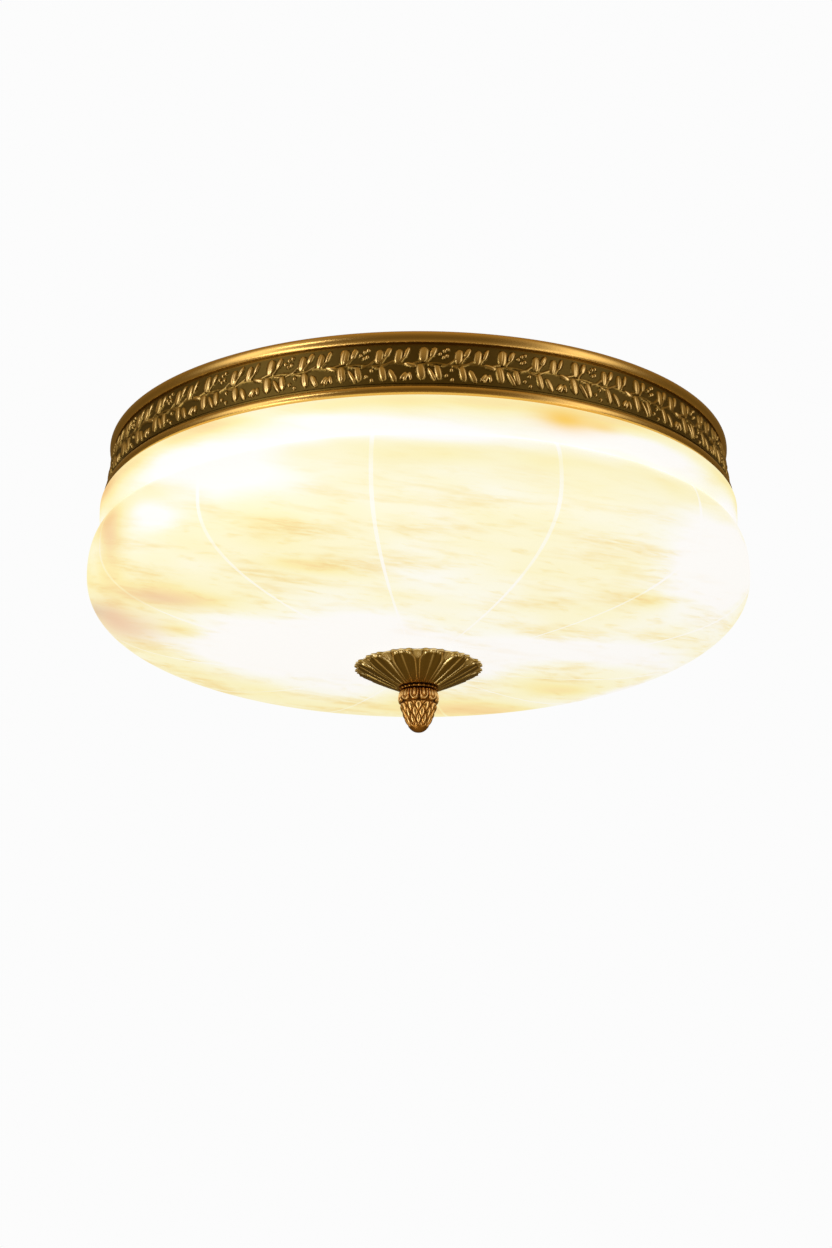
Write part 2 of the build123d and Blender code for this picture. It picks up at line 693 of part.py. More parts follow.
def rosette():
    """Cast cup that flares up to a lobed rim, with a ledge inside for the felt ring."""
    ledge = rosette_top - FELT_THICK
    lip_foot = rosette_top - ROSETTE_LIP
    foot_top = rosette_foot + ROSETTE_FOOT
    bore = ROD_R + PASS_GAP
    middle_r = (ROSETTE_R + ROSETTE_FOOT_R) / 2
    middle_z = (lip_foot + rosette_foot) / 2
    flank = ThreePointArc(
        (ROSETTE_R, lip_foot),
        (middle_r - ROSETTE_FLARE / 2, middle_z - ROSETTE_FLARE / 3),
        (ROSETTE_FOOT_R, rosette_foot),
    )
    outline = Polyline(
        flank @ 1,
        (bore, rosette_foot),
        (bore, foot_top),
        (ROSETTE_FOOT_R - ROSETTE_WALL, foot_top),
        (FELT_R - FELT_WIDTH, ledge),
        (FELT_R, ledge),
        (FELT_R, rosette_top),
        (ROSETTE_R, rosette_top),
        (ROSETTE_R, lip_foot),
    )
    plan = Pos(0, 0, rosette_foot) * extrude(petal_outline(), ROSETTE_DEPTH)
    return lathe(flank, outline) & plan


def felt_ring():
    return tube(FELT_R - FIT_GAP, FELT_R - FELT_WIDTH, rosette_top, rosette_top - FELT_THICK)


def pine_cone_finial():
    """Short waisted neck over a pointed cone, bored blind for the rod."""
    widest = finial_top - FINIAL_SHOULDER
    waist = finial_top - FINIAL_NECK
    swell = EllipticalCenterArc(
        (FINIAL_NECK_R, widest), FINIAL_R - FINIAL_NECK_R, waist - widest, start_angle=90, arc_size=-90
    )
    taper = Spline(
        (FINIAL_R, widest),
        (FINIAL_TIP_R, finial_foot + FINIAL_TIP),
        (0, finial_foot),
        tangents=[(0, -1), (-1, 0)],
    )
    edge = Polyline(taper @ 1, (0, finial_top), (FINIAL_NECK_R, finial_top), (FINIAL_NECK_R, waist))
    return lathe(swell, taper, edge) - rod(ROD_R + FIT_GAP, finial_top, rod_foot - BORE_SPARE)


# ---- Every node, by name

studs, spacers, stud_nuts = stud_parts()
center_rod, rod_washers, rod_nuts = rod_parts()
rubber_washer, backing_plate = bowl_washers()

nodes = {
    "mounting_strap": mounting_strap(),
    "strap_studs": studs,
    "stud_spacers": spacers,
    "stud_nuts": stud_nuts,
    "ceiling_pan": ceiling_pan(),
    "cable_grommet": cable_grommet(),
    "rim_gasket": rim_gasket(),
    "embossed_band": embossed_band(),
    "band_screws": band_screws(),
    "center_rod": center_rod,
    "rod_washers": rod_washers,
    "rod_nuts": rod_nuts,
    "terminal_block": terminal_block(),
    "terminal_screws": terminal_screws(),
    "earth_screw": earth_screw(),
    "lamp_brackets": [lamp_bracket(angle) for angle in lamp_angles],
    "bracket_screws": [bracket_screw(angle) for angle in lamp_angles],
    "lamp_holders": [lamp_holder(angle) for angle in lamp_angles],
    "holder_screws": [screw for angle in lamp_angles for screw in holder_screws(angle)],
    "holder_contacts": [piece for angle in lamp_angles for piece in holder_contacts(angle)],
    "lamp_leads": lamp_leads(),
    "alabaster_collar": alabaster_collar(),
    "seam_resin": seam_strips(),
    "rubber_washer": rubber_washer,
    "backing_plate": backing_plate,
    "rosette": rosette(),
    "felt_ring": felt_ring(),
    "pine_cone_finial": pine_cone_finial(),
}
for number in range(GORES):
    nodes[f"gore_{number + 1:02d}"] = gore(number)
for number, angle in enumerate(lamp_angles, start=1):
    cap, neck, globe = lamp_pieces(angle)
    nodes[f"lamp_{number}_cap"] = cap
    nodes[f"lamp_{number}_neck"] = neck
    nodes[f"lamp_{number}_globe"] = globe

for name, shape in nodes.items():
    solids = [solid for piece in (shape if isinstance(shape, list) else [shape]) for solid in piece.solids()]
    export_step(Compound(children=solids) if len(solids) > 1 else solids[0], f"parts/{name}.step")
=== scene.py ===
# %% [markdown]
# # A flush ceiling light of alabaster and brass
# The light hangs under a ceiling: an embossed brass band, a glowing bowl of twelve stone gores
# under it, and a petalled rosette with a pine cone that holds the bowl up. The construction comes
# packed, in metres, with the ceiling at z = 0 and the rod on the Z axis. This file gives every
# piece its surface.

import bpy
import numpy as np
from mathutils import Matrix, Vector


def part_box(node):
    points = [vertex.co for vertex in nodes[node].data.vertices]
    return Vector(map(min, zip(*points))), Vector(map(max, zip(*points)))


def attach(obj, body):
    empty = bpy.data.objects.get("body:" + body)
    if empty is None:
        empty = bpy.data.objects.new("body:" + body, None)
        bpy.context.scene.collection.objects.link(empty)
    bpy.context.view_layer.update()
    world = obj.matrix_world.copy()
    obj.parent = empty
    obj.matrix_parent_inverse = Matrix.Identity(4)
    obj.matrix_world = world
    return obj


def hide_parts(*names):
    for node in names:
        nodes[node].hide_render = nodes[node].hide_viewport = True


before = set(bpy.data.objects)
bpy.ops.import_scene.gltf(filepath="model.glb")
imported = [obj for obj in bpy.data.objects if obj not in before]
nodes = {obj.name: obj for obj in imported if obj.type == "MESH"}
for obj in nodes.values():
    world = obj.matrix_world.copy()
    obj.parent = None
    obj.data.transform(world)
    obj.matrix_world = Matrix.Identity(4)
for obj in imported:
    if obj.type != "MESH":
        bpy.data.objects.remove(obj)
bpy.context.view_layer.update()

# %% [markdown]
# ## Surfaces from numbers
# Cast and turned pieces are all grids of points. A grid could be drawn by hand, but a formula
# gives clean curves at any density. One function turns a grid into a mesh. Its last row can join
# its first, and so can its last column. It also measures the volume that the faces enclose, and
# turns them round if that comes out negative, so that every face points outwards.

# %% A mesh from a grid of points
TURN = 2 * np.pi
MM = 0.001
SHARP = np.radians(38)


def grid_faces(rows, columns, close_rows, close_columns):
    """Corner numbers of the quads between neighbouring points of a grid."""
    index = np.arange(rows * columns).reshape(rows, columns)
    if close_rows:
        index = np.vstack([index, index[:1]])
    if close_columns:
        index = np.hstack([index, index[:, :1]])
    corners = (index[:-1, :-1], index[:-1, 1:], index[1:, 1:], index[1:, :-1])
    return np.stack(corners, -1).reshape(-1, 4)


def enclosed(points, quads):
    """Signed volume: a sum of the corner products of both triangles of each quad."""
    a, b, c, d = (points[quads[:, k]] for k in range(4))
    first = np.einsum("ij,ij->i", a, np.cross(b, c))
    second = np.einsum("ij,ij->i", a, np.cross(c, d))
    return (first.sum() + second.sum()) / 6


def piece(name, points, close_rows=True, close_columns=True, caps=False, relief=None):
    """A smooth mesh object from a grid. Caps close its first and last columns, and the relief, its
    height over the ground, is kept as an attribute."""
    rows, columns = points.shape[:2]
    flat = points.reshape(-1, 3)
    quads = grid_faces(rows, columns, close_rows, close_columns)
    inside_out = enclosed(flat, quads) < 0
    faces = (quads[:, ::-1] if inside_out else quads).tolist()
    if caps:
        first = (np.arange(rows) * columns).tolist()
        last = (np.arange(rows) * columns + columns - 1).tolist()
        faces += [first, last[::-1]] if inside_out else [first[::-1], last]
    mesh = bpy.data.meshes.new(name)
    mesh.from_pydata(flat.tolist(), [], faces)
    if relief is not None:
        mesh.attributes.new("relief", "FLOAT", "POINT").data.foreach_set("value", relief.ravel())
    mesh.shade_smooth()
    mesh.set_sharp_from_angle(angle=SHARP)
    mesh.update()
    made = bpy.data.objects.new(name, mesh)
    bpy.context.scene.collection.objects.link(made)
    return made


def turned(outline, angles):
    """Points of an outline (radius, height) carried around the Z axis."""
    radius, height = outline[:, :1], outline[:, 1:]
    points = [radius * np.cos(angles), radius * np.sin(angles), height + 0 * angles]
    return np.stack(points, -1)


# %% [markdown]
# ## Nodes for the finishes
# A finish is a small tree of shader nodes around one Principled shader. A few helpers keep the
# trees short. One adds any node, and the others add a sum, a colour ramp, a noise or a bump. The
# last one puts a finish on a new piece and says which body the piece moves with.

# %% Shader helpers


def add(tree, kind, inputs=None, **settings):
    """One shader node. An input is either a plain value or another node's output."""
    node = tree.nodes.new("ShaderNode" + kind)
    for key, value in settings.items():
        setattr(node, key, value)
    for key, value in (inputs or {}).items():
        if isinstance(value, bpy.types.NodeSocket):
            tree.links.new(value, node.inputs[key])
        else:
            node.inputs[key].default_value = value
    return node


def calc(tree, operation, a, b=0.0, clamp=False):
    """A sum, a product or another function of one or two values."""
    return add(tree, "Math", {0: a, 1: b}, operation=operation, use_clamp=clamp).outputs[0]


def ramp(tree, factor, stops):
    """A colour ramp from (place, grey value or colour) stops."""
    node = add(tree, "ValToRGB", {"Fac": factor})
    band = node.color_ramp
    while len(band.elements) < len(stops):
        band.elements.new(0.5)
    for element, (place, shade) in zip(band.elements, stops):
        element.position = place
        element.color = (*((shade,) * 3 if isinstance(shade, float) else shade), 1.0)
    return node.outputs[0]


def noise(tree, where, scale, detail=4.0, rough=0.55, **more):
    """Cloudy noise around 0.5, with more and finer octaves as detail and rough go up."""
    inputs = {"Vector": where, "Scale": scale, "Detail": detail, "Roughness": rough, **more}
    return add(tree, "TexNoise", inputs).outputs[0]


def finish_of(name, **sockets):
    """A new material: its node tree, its Principled shader and the object's own coordinates."""
    material = bpy.data.materials.new(name)
    material.use_nodes = True
    tree = material.node_tree
    shader = tree.nodes["Principled BSDF"]
    for key, value in sockets.items():
        shader.inputs[key.replace("_", " ")].default_value = value
    place = add(tree, "TexCoord").outputs["Object"]
    return material, tree, shader, place


def bumpy(tree, shader, height, distance, strength=1.0):
    """Let the shader's normal follow a height. The distance is what a height of 1 stands for."""
    bump = add(tree, "Bump", {"Height": height, "Distance": distance, "Strength": strength})
    tree.links.new(bump.outputs[0], shader.inputs["Normal"])


def wear(made, material, slot, body, *replaced):
    """Give a new piece its finish and the body that it moves with. The slot is not used."""
    made.data.materials.append(material)
    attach(made, body)
    for node in replaced:
        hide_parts(node)


# %% [markdown]
# ## Antique brass
# The foundry darkens the whole casting, then rubs the high places bright. So the colour follows
# the height: olive brown in the hollows, pale gold where the cloth reaches. The colour also carries
# painted light: painted shade deepens the hollows and painted highlights brighten the crests, for
# relief too fine to catch the room's light. The relief attribute of each mesh carries that height,
# and a little noise keeps the rubbing uneven.

# %% Brass finishes
PATCHES, GRAIN = 160.0, 900.0  # noise scales of the uneven rubbing and of the cast skin


def antique(name, hollow, middle, crest, shine, uneven):
    """Brass whose colour and gloss follow the relief, with painted shade and painted highlights."""
    material, tree, shader, place = finish_of(name, Metallic=1.0)
    height = add(tree, "Attribute", attribute_name="relief").outputs["Fac"]
    patch = noise(tree, place, PATCHES)
    wander = calc(tree, "MULTIPLY", calc(tree, "SUBTRACT", patch, 0.5), uneven)
    # the tone's height: patina and uneven rubbing, with painted shade in the hollows and painted
    # highlights on the crests
    rubbed_and_lit = calc(tree, "ADD", height, wander, clamp=True)
    tone = ramp(tree, rubbed_and_lit, [(0.0, hollow), (0.45, middle), (0.9, crest)])
    tree.links.new(tone, shader.inputs["Base Color"])
    gloss = ramp(tree, rubbed_and_lit, [(0.1, shine[0]), (0.8, shine[1])])
    tree.links.new(gloss, shader.inputs["Roughness"])
    bumpy(tree, shader, noise(tree, place, GRAIN), 0.0001, 0.35)
    return material


bead_brass = antique(
    "bead_brass", (0.14, 0.085, 0.016), (0.48, 0.3, 0.07), (0.8, 0.5, 0.15), (0.4, 0.24), 0.15
)
band_brass = antique(
    "band_brass", (0.17, 0.113, 0.028), (0.4, 0.26, 0.07), (0.95, 0.67, 0.29), (0.42, 0.22), 0.2
)
print("brass finishes:", bead_brass.name, band_brass.name)

# %% [markdown]
# ## The band
# The real band is pressed brass: a round bead at the ceiling, a frieze of a running vine and a
# heavy lip. The bead and the lip are turned outlines. The frieze is a height over the ground,
# laid around a cone. Leaves could each be a mesh, but one height grid gives the soft joins of a
# casting.

# %% Band sizes
BAND_TOP_R, BAND_FOOT_R = 0.2337, 0.2399
BAND_HEIGHT = -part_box("embossed_band")[0].z
LIP_BORE_R = 0.2352
LIP_HEIGHT = 7.2 * MM
BEAD_HEIGHT = 8.8 * MM
BEAD_OUT = 3.4 * MM
RELIEF = 1.8 * MM
BAND_WALL = 1.6 * MM
GROOVE = 1.8 * MM
GROOVE_DEPTH = 0.6 * MM
AROUND = 720  # points around a turned piece


def band_cone(z):
    """Radius of the band's outer cone: it widens evenly from the ceiling to the foot."""
    return BAND_TOP_R + (BAND_FOOT_R - BAND_TOP_R) * -z / BAND_HEIGHT


def arc(centre, across, up, start, end, count=24):
    """Points on an ellipse between two angles in degrees."""
    angle = np.radians(np.linspace(start, end, count))
    return np.stack([centre[0] + across * np.cos(angle), centre[1] + up * np.sin(angle)], -1)


# %% Bead, grooves and lip in one outline
frieze_top = -(BEAD_HEIGHT + GROOVE)
lip_top = -(BAND_HEIGHT - LIP_HEIGHT)
frieze_foot = lip_top + GROOVE
ground_top, ground_foot = (band_cone(z) - RELIEF for z in (frieze_top, frieze_foot))
bead_seat = band_cone(-BEAD_HEIGHT) - RELIEF
lip_round = LIP_HEIGHT / 2
bead = arc((bead_seat, -BEAD_HEIGHT / 2), BEAD_OUT, BEAD_HEIGHT / 2, 90, -90)
lip = arc((BAND_FOOT_R - lip_round, lip_top - lip_round), lip_round, lip_round, 90, -90)
between = [
    (bead_seat - GROOVE_DEPTH, -BEAD_HEIGHT),
    (ground_top - GROOVE_DEPTH, frieze_top),
    (ground_foot - GROOVE_DEPTH, frieze_foot),
    (ground_foot - GROOVE_DEPTH, lip_top),
]
inside = [
    (LIP_BORE_R, -BAND_HEIGHT),
    (LIP_BORE_R, lip_top),
    (band_cone(lip_top) - RELIEF - BAND_WALL, lip_top),
    (band_cone(0) - RELIEF - BAND_WALL, 0),
]
band_outline = np.vstack([bead, between, lip, inside])
around = np.arange(AROUND) * TURN / AROUND
row = np.arange(len(band_outline))
lip_row = len(bead) + len(between)
on_bead = (row < len(bead)) | ((row >= lip_row) & (row < lip_row + len(lip)))
# the bead and the lip take the crest's tone, the grooves and the inside patina with painted shade
band_relief = np.repeat(np.where(on_bead, 1.0, 0.1)[:, None], len(around), 1)
band_ring = piece("embossed_band_ring", turned(band_outline, around), relief=band_relief)
wear(band_ring, bead_brass, "antique_brass", "fixture", "embossed_band")
print("band ring points:", len(band_ring.data.vertices))

# %% [markdown]
# One repeat of the vine is 13.3 degrees wide, and 27 of them close the ring. Above the stem stand
# three pairs of leaves and a cluster of berries. Below it hang leaves of their own, with berries
# and a fan of three seeds between them.

# %% The vine's height in one repeat
REPEATS = 27
REPEAT_WIDTH = 55.1  # millimetres around the ground
FRIEZE_HALF = (frieze_top - frieze_foot) / MM / 2
BERRY_R = 1.55
FIRST_BERRY = -112.5  # degrees from +X, an upper cluster left of the front
STEM_HALF = 0.9
STEM_WAVE = 0.8  # how far the stem swings up and down, twice in a repeat
STEM_HEIGHT = 0.45  # heights are shares of the relief
RIB_DEPTH = 0.14
RIB_HALF = 0.4
BERRY_HEIGHT = 0.9
STALK_HALF = 0.95
STALK_HEIGHT = 0.6

# foot, tip and width of each leaf in millimetres, measured from a berry cluster
UPPER_LEAVES = [
    ((9.8, 0.4), (11.6, 12.0), 6.2),
    ((15.0, 5.6), (18.8, 13.2), 4.2),
    ((22.9, 0.4), (25.2, 12.0), 5.8),
    ((28.2, 4.6), (31.6, 13.2), 3.4),
    ((40.6, 1.4), (42.4, 13.6), 7.0),
    ((46.6, 5.4), (50.0, 13.4), 4.4),
]
LOWER_LEAVES = [
    ((38.8, 0.2), (40.2, -12.2), 6.6),
    ((44.2, -2.8), (49.6, -13.2), 3.4),
    ((50.2, -0.8), (52.4, -12.2), 5.2),
    ((12.2, -1.2), (14.2, -12.8), 5.6),
    ((17.8, -3.8), (22.2, -13.4), 4.6),
    ((25.4, -11.8), (29.6, -6.2), 3.2),
    ((27.8, -12.8), (30.6, -7.0), 3.0),
    ((32.6, -12.2), (31.6, -6.0), 3.0),
    ((28.0, 0.6), (36.6, -1.8), 3.6),
]
BERRIES = [(-2.2, 8.0), (0.6, 10.4), (2.6, 6.6), (3.2, 11.6), (0.2, 5.4)]
BERRIES += [(5.4, -4.4), (1.8, -8.8), (5.8, -11.8)]
STALKS = [
    ((-1.0, -1.6), (4.0, 0.2)),
    ((4.0, 0.2), (8.6, 4.4)),
    ((12.8, -1.4), (20.6, 2.6)),
    ((25.6, 1.4), (28.8, 6.4)),
    ((31.4, -0.6), (39.4, 2.2)),
    ((12.2, 1.0), (16.2, 7.4)),
    ((43.6, 1.6), (48.0, 7.4)),
    ((6.6, -1.8), (12.0, -3.4)),
    ((45.0, -0.6), (52.0, -2.0)),
]


def leaf(u, v, foot, tip, width):
    """A plump dome from foot to tip. Its half width is a flattened arch of the place along it,
    its height is half an ellipse of the place across it, and a midrib is sunk into wide ones."""
    du, dv = tip[0] - foot[0], tip[1] - foot[1]
    length = np.hypot(du, dv)
    along = ((u - foot[0]) * du + (v - foot[1]) * dv) / length**2
    across = ((u - foot[0]) * dv - (v - foot[1]) * du) / length
    half = width / 2 * np.clip(1 - np.abs(2 * along - 1) ** 3.2, 1e-6, 1) ** 0.55
    dome = np.sqrt(np.clip(1 - (across / half) ** 2, 0, 1)) * ((along > 0) & (along < 1))
    rib = RIB_DEPTH * np.exp(-((across / RIB_HALF) ** 2)) * (width > 4)
    swell = np.sin(np.pi * np.clip(0.12 + 0.8 * along, 0, 1)) ** 0.5
    return dome * (1 - rib) * swell


def berry(u, v, centre):
    """Half a ball."""
    away = np.hypot(u - centre[0], v - centre[1]) / BERRY_R
    return BERRY_HEIGHT * np.sqrt(np.clip(1 - away**2, 0, 1))


def stalk(u, v, ends):
    """A round rod from one point to the next."""
    (u0, v0), (u1, v1) = ends
    share = ((u - u0) * (u1 - u0) + (v - v0) * (v1 - v0)) / ((u1 - u0) ** 2 + (v1 - v0) ** 2)
    share = share.clip(0, 1)
    away = np.hypot(u - u0 - share * (u1 - u0), v - v0 - share * (v1 - v0)) / STALK_HALF
    return STALK_HEIGHT * np.sqrt(np.clip(1 - away**2, 0, 1))


def vine(u, v):
    """Height of the frieze, the highest of its parts at each point. The stem is a round rod that
    follows a sine."""
    swing = STEM_WAVE * np.sin(u / REPEAT_WIDTH * TURN * 2)
    height = STEM_HEIGHT * np.sqrt(np.clip(1 - ((v + swing) / STEM_HALF) ** 2, 0, 1))
    for shift in (-REPEAT_WIDTH, 0, REPEAT_WIDTH):
        here = u - shift
        parts = [leaf(here, v, *each) for each in UPPER_LEAVES + LOWER_LEAVES]
        parts += [berry(here, v, centre) for centre in BERRIES]
        parts += [stalk(here, v, ends) for ends in STALKS]
        height = np.maximum(height, np.max(parts, axis=0))
    return height


# %% [markdown]
# The whole frieze would pass 200,000 triangles, so it is laid in three arcs of nine repeats. Their
# ends meet on the same column of the pattern, and each arc has a back behind the ground.

# %% Lay the vine around the band
COLUMNS = 120  # points along one repeat
ROWS = 58
ARCS = 3
EDGE_RISE = 14  # the relief fades in over a fourteenth of the half height
VINE_DEPTH = 0.92  # the vine stays a little under the bead and the lip
rise = np.linspace(-1, 1, ROWS)
u_one, v_one = np.meshgrid(np.arange(COLUMNS) / COLUMNS * REPEAT_WIDTH, rise * FRIEZE_HALF)
one_repeat = vine(u_one, v_one)
edge = np.clip((1 - np.abs(rise)) * EDGE_RISE, 0, 1)[:, None]
per_arc = REPEATS // ARCS
relief = np.hstack([np.tile(one_repeat * edge, per_arc), (one_repeat * edge)[:, :1]])
z_rows = (frieze_top + frieze_foot) / 2 + rise * FRIEZE_HALF * MM
ground = (band_cone(z_rows) - RELIEF)[:, None]
back = ground - 0.9 * GROOVE_DEPTH
for number in range(ARCS):
    start = np.radians(FIRST_BERRY) + number * TURN / ARCS
    angles = start + np.arange(relief.shape[1]) * TURN / REPEATS / COLUMNS
    front_rows = ground + relief * RELIEF * VINE_DEPTH
    back_rows = np.repeat(back[::-1], len(angles), 1)[[0, -1]]
    radii = np.vstack([front_rows, back_rows])
    heights = np.r_[z_rows, z_rows[-1], z_rows[0]][:, None] + 0 * angles
    grid = np.stack([radii * np.cos(angles), radii * np.sin(angles), heights], -1)
    # the height is also the tone: painted shade on the ground round the leaves, painted highlights on
    # them, over the patina
    shade = np.vstack([relief, 0 * relief[:2]])
    strip = piece(f"frieze_{number + 1}", grid, close_columns=False, caps=True, relief=shade)
    wear(strip, band_brass, "antique_brass", "fixture")
print("frieze faces:", len(strip.data.polygons) * ARCS)

# %% [markdown]
# ## The stone
# Alabaster is cut thin enough to glow. The lamps behind it burn the middle out to white, and
# clouds and threads of honey colour drift through it. Real light through real stone could be
# simulated, but it is slow and noisy. Here the stone gives its own light, and its pattern says
# how much: bright near the lamps, less where a cloud lies.
#
# The stone grew in layers that lean a little, so the clouds are long and flat. The pattern is
# worked out in leaning coordinates: across, up through the layers, and along them.

# %% Leaning coordinates
LEAN = np.radians(17.9)  # how far the layers rise towards the back
DIP = 0.13  # how far they drop towards +X

up_layers = np.array([DIP, -np.sin(LEAN), np.cos(LEAN)])
along_layers = np.array([0.0, np.cos(LEAN), np.sin(LEAN)])


def leaning(point):
    """Across, up through the layers, and along them, for a point in metres."""
    point = np.array(point, float)
    return (float(point[0]), float(point @ up_layers), float(point @ along_layers))


def leaning_nodes(tree, place):
    """The same three numbers in shader nodes: two dot products and X."""
    across = add(tree, "SeparateXYZ", {0: place}).outputs[0]
    parts = {0: across}
    for k, direction in ((1, up_layers), (2, along_layers)):
        dot = add(tree, "VectorMath", {0: place, 1: tuple(direction)}, operation="DOT_PRODUCT")
        parts[k] = dot.outputs["Value"]
    return add(tree, "CombineXYZ", parts).outputs[0]


print("up through the layers:", up_layers.round(3))

# %% [markdown]
# The colours go from honey brown, where hardly any light comes through, to white. The tables say
# where the painted lamp light is brighter or dimmer and where the stone is tinted. Each row is a
# soft lens, placed on the stone.

# %% Tones and places
CREAM = [  # glow, and the tone that it shows
    (0.0, (0.7, 0.386, 0.16)),
    (0.12, (0.895, 0.594, 0.27)),
    (0.28, (0.973, 0.758, 0.386)),
    (0.45, (0.983, 0.879, 0.463)),
    (0.58, (0.983, 0.93, 0.594)),
    (0.72, (0.99, 0.956, 0.7)),
    (0.88, (0.99, 0.99, 0.895)),
    (1.0, (1.0, 1.0, 1.0)),
]
BLUSH = (0.86, 0.6, 0.42)
LILAC = (0.66, 0.52, 0.45)
AMBER = (0.96, 0.63, 0.14)
OCHRE = (0.9, 0.68, 0.32)
GLOW = 0.845
PALE = 0.3  # how much daylight the stone returns, against its tone
BASE_GLOW = 0.27
BROAD_GLOW = 0.9  # what the widest noise adds
VEIN_DARK = 0.13  # what a vein takes from the glow
VEIN_TINT = 1.0  # how far it goes to ochre
TINT_FADE = 1.15  # the tint is gone where the glow is over this

# bright places, painted lamp light where the lamps behind shine through: a point on the stone,
# reach across and through the layers, and strength
LAMP_LIGHT_SPOTS = [
    ((-0.045, -0.030, -0.168), 0.11, 0.027, 1.0),
    ((-0.139, -0.204, -0.087), 0.050, 0.018, 0.5),
    ((-0.187, -0.165, -0.109), 0.022, 0.011, 0.5),
    ((0.199, -0.129, -0.133), 0.034, 0.036, 0.45),
    ((0.234, -0.084, -0.118), 0.022, 0.050, 0.4),
    ((0.139, -0.198, -0.066), 0.060, 0.009, 0.38),
    ((0.185, -0.156, -0.064), 0.030, 0.013, 0.34),
    ((-0.012, -0.240, -0.075), 0.13, 0.006, 0.35),
    ((0.136, -0.011, -0.163), 0.080, 0.010, 0.45),
    ((0.130, 0.180, -0.130), 0.090, 0.030, 0.6),
    ((-0.150, 0.190, -0.100), 0.080, 0.030, 0.6),
    ((-0.054, 0.085, -0.166), 0.040, 0.010, 0.3),
]
# dim places, where the painted lamp light is weaker
DIM_SPOTS = [
    ((-0.100, -0.214, -0.134), 0.032, 0.020, 0.18),
    ((-0.221, -0.117, -0.105), 0.012, 0.020, 0.4),
    ((-0.222, -0.100, -0.127), 0.014, 0.011, 0.16),
    ((-0.170, -0.108, -0.151), 0.042, 0.007, 0.3),
    ((-0.175, -0.049, -0.156), 0.018, 0.006, 0.48),
    ((-0.068, -0.180, -0.153), 0.038, 0.0045, 0.24),
    ((-0.210, -0.065, -0.140), 0.065, 0.022, 0.42),
    ((0.165, -0.107, -0.152), 0.015, 0.006, 0.38),
    ((0.099, 0.078, -0.164), 0.060, 0.010, 0.55),
    ((0.060, 0.150, -0.160), 0.150, 0.014, 0.56),
    ((-0.120, 0.120, -0.158), 0.080, 0.010, 0.15),
]
BLUSHES = [
    ((-0.221, -0.117, -0.108), 0.010, 0.016, 0.4),
    ((-0.222, -0.020, -0.142), 0.030, 0.012, 0.8),
    ((-0.228, -0.040, -0.138), 0.012, 0.008, 0.3),
    ((-0.185, -0.105, -0.150), 0.028, 0.005, 0.6),
]
LILACS = [((-0.244, -0.005, -0.126), 0.012, 0.006, 0.5)]
AMBERS = [
    ((0.100, -0.221, -0.060), 0.020, 0.008, 1.0),
    ((0.128, -0.206, -0.060), 0.012, 0.004, 0.5),
]
PATCH_DEPTH = 0.09

# rings around the bowl, painted lamp light at the lamps' height and painted shade on the collar
# and just under the crease: height, reach and strength
LAMP_LIGHT_RING = (-0.0745, 0.007, 0.15)
SHADE_RINGS = [(-0.0545, 0.008, 0.39), (-0.092, 0.009, 0.1)]

# how wide the noises are across the layers, through them and along them
BROAD_SIZE = (0.15, 0.045, 0.15)
CLOUD_SIZE = (0.062, 0.0085, 0.09)
THREAD_SIZE = (0.016, 0.0017, 0.03)
FLECK_SIZE = (0.021, 0.0036, 0.05)
print("places in the stone:", len(LAMP_LIGHT_SPOTS + DIM_SPOTS + BLUSHES + LILACS + AMBERS))

# %% Lenses, rings and clouds


def patches(tree, layers, table):
    """Sum of soft lenses: strength times e to the minus square of the stretched distance."""
    total = None
    for point, across, through, strength in table:
        sizes = (across, through, PATCH_DEPTH)
        spot = {"Vector": layers, "Location": leaning(point), "Scale": sizes}
        inside = add(tree, "Mapping", spot, vector_type="TEXTURE").outputs[0]
        square = add(tree, "VectorMath", {0: inside, 1: inside}, operation="DOT_PRODUCT")
        bell = calc(tree, "EXPONENT", calc(tree, "MULTIPLY", square.outputs["Value"], -1.0))
        part = calc(tree, "MULTIPLY", bell, strength)
        total = part if total is None else calc(tree, "ADD", total, part)
    return total


def ring_light(tree, height, middle, reach, strength):
    """The same lens, all around the bowl at one height."""
    away = calc(tree, "DIVIDE", calc(tree, "SUBTRACT", height, middle), reach)
    bell = calc(tree, "EXPONENT", calc(tree, "MULTIPLY", calc(tree, "MULTIPLY", away, away), -1.0))
    return calc(tree, "MULTIPLY", bell, strength)


def clouds(tree, layers, sizes, detail, rough=0.55, **more):
    """Noise in leaning coordinates that are counted in cloud sizes."""
    counted = add(tree, "Mapping", {"Vector": layers, "Scale": sizes}, vector_type="TEXTURE")
    return noise(tree, counted.outputs[0], 1.0, detail, rough, **more)


def tinted(tree, factor, under, colour):
    """The colour under, mixed towards another by the factor."""
    inputs = {"Fac": factor, "Color1": under, "Color2": (*colour, 1.0)}
    return add(tree, "MixRGB", inputs, use_clamp=True).outputs[0]
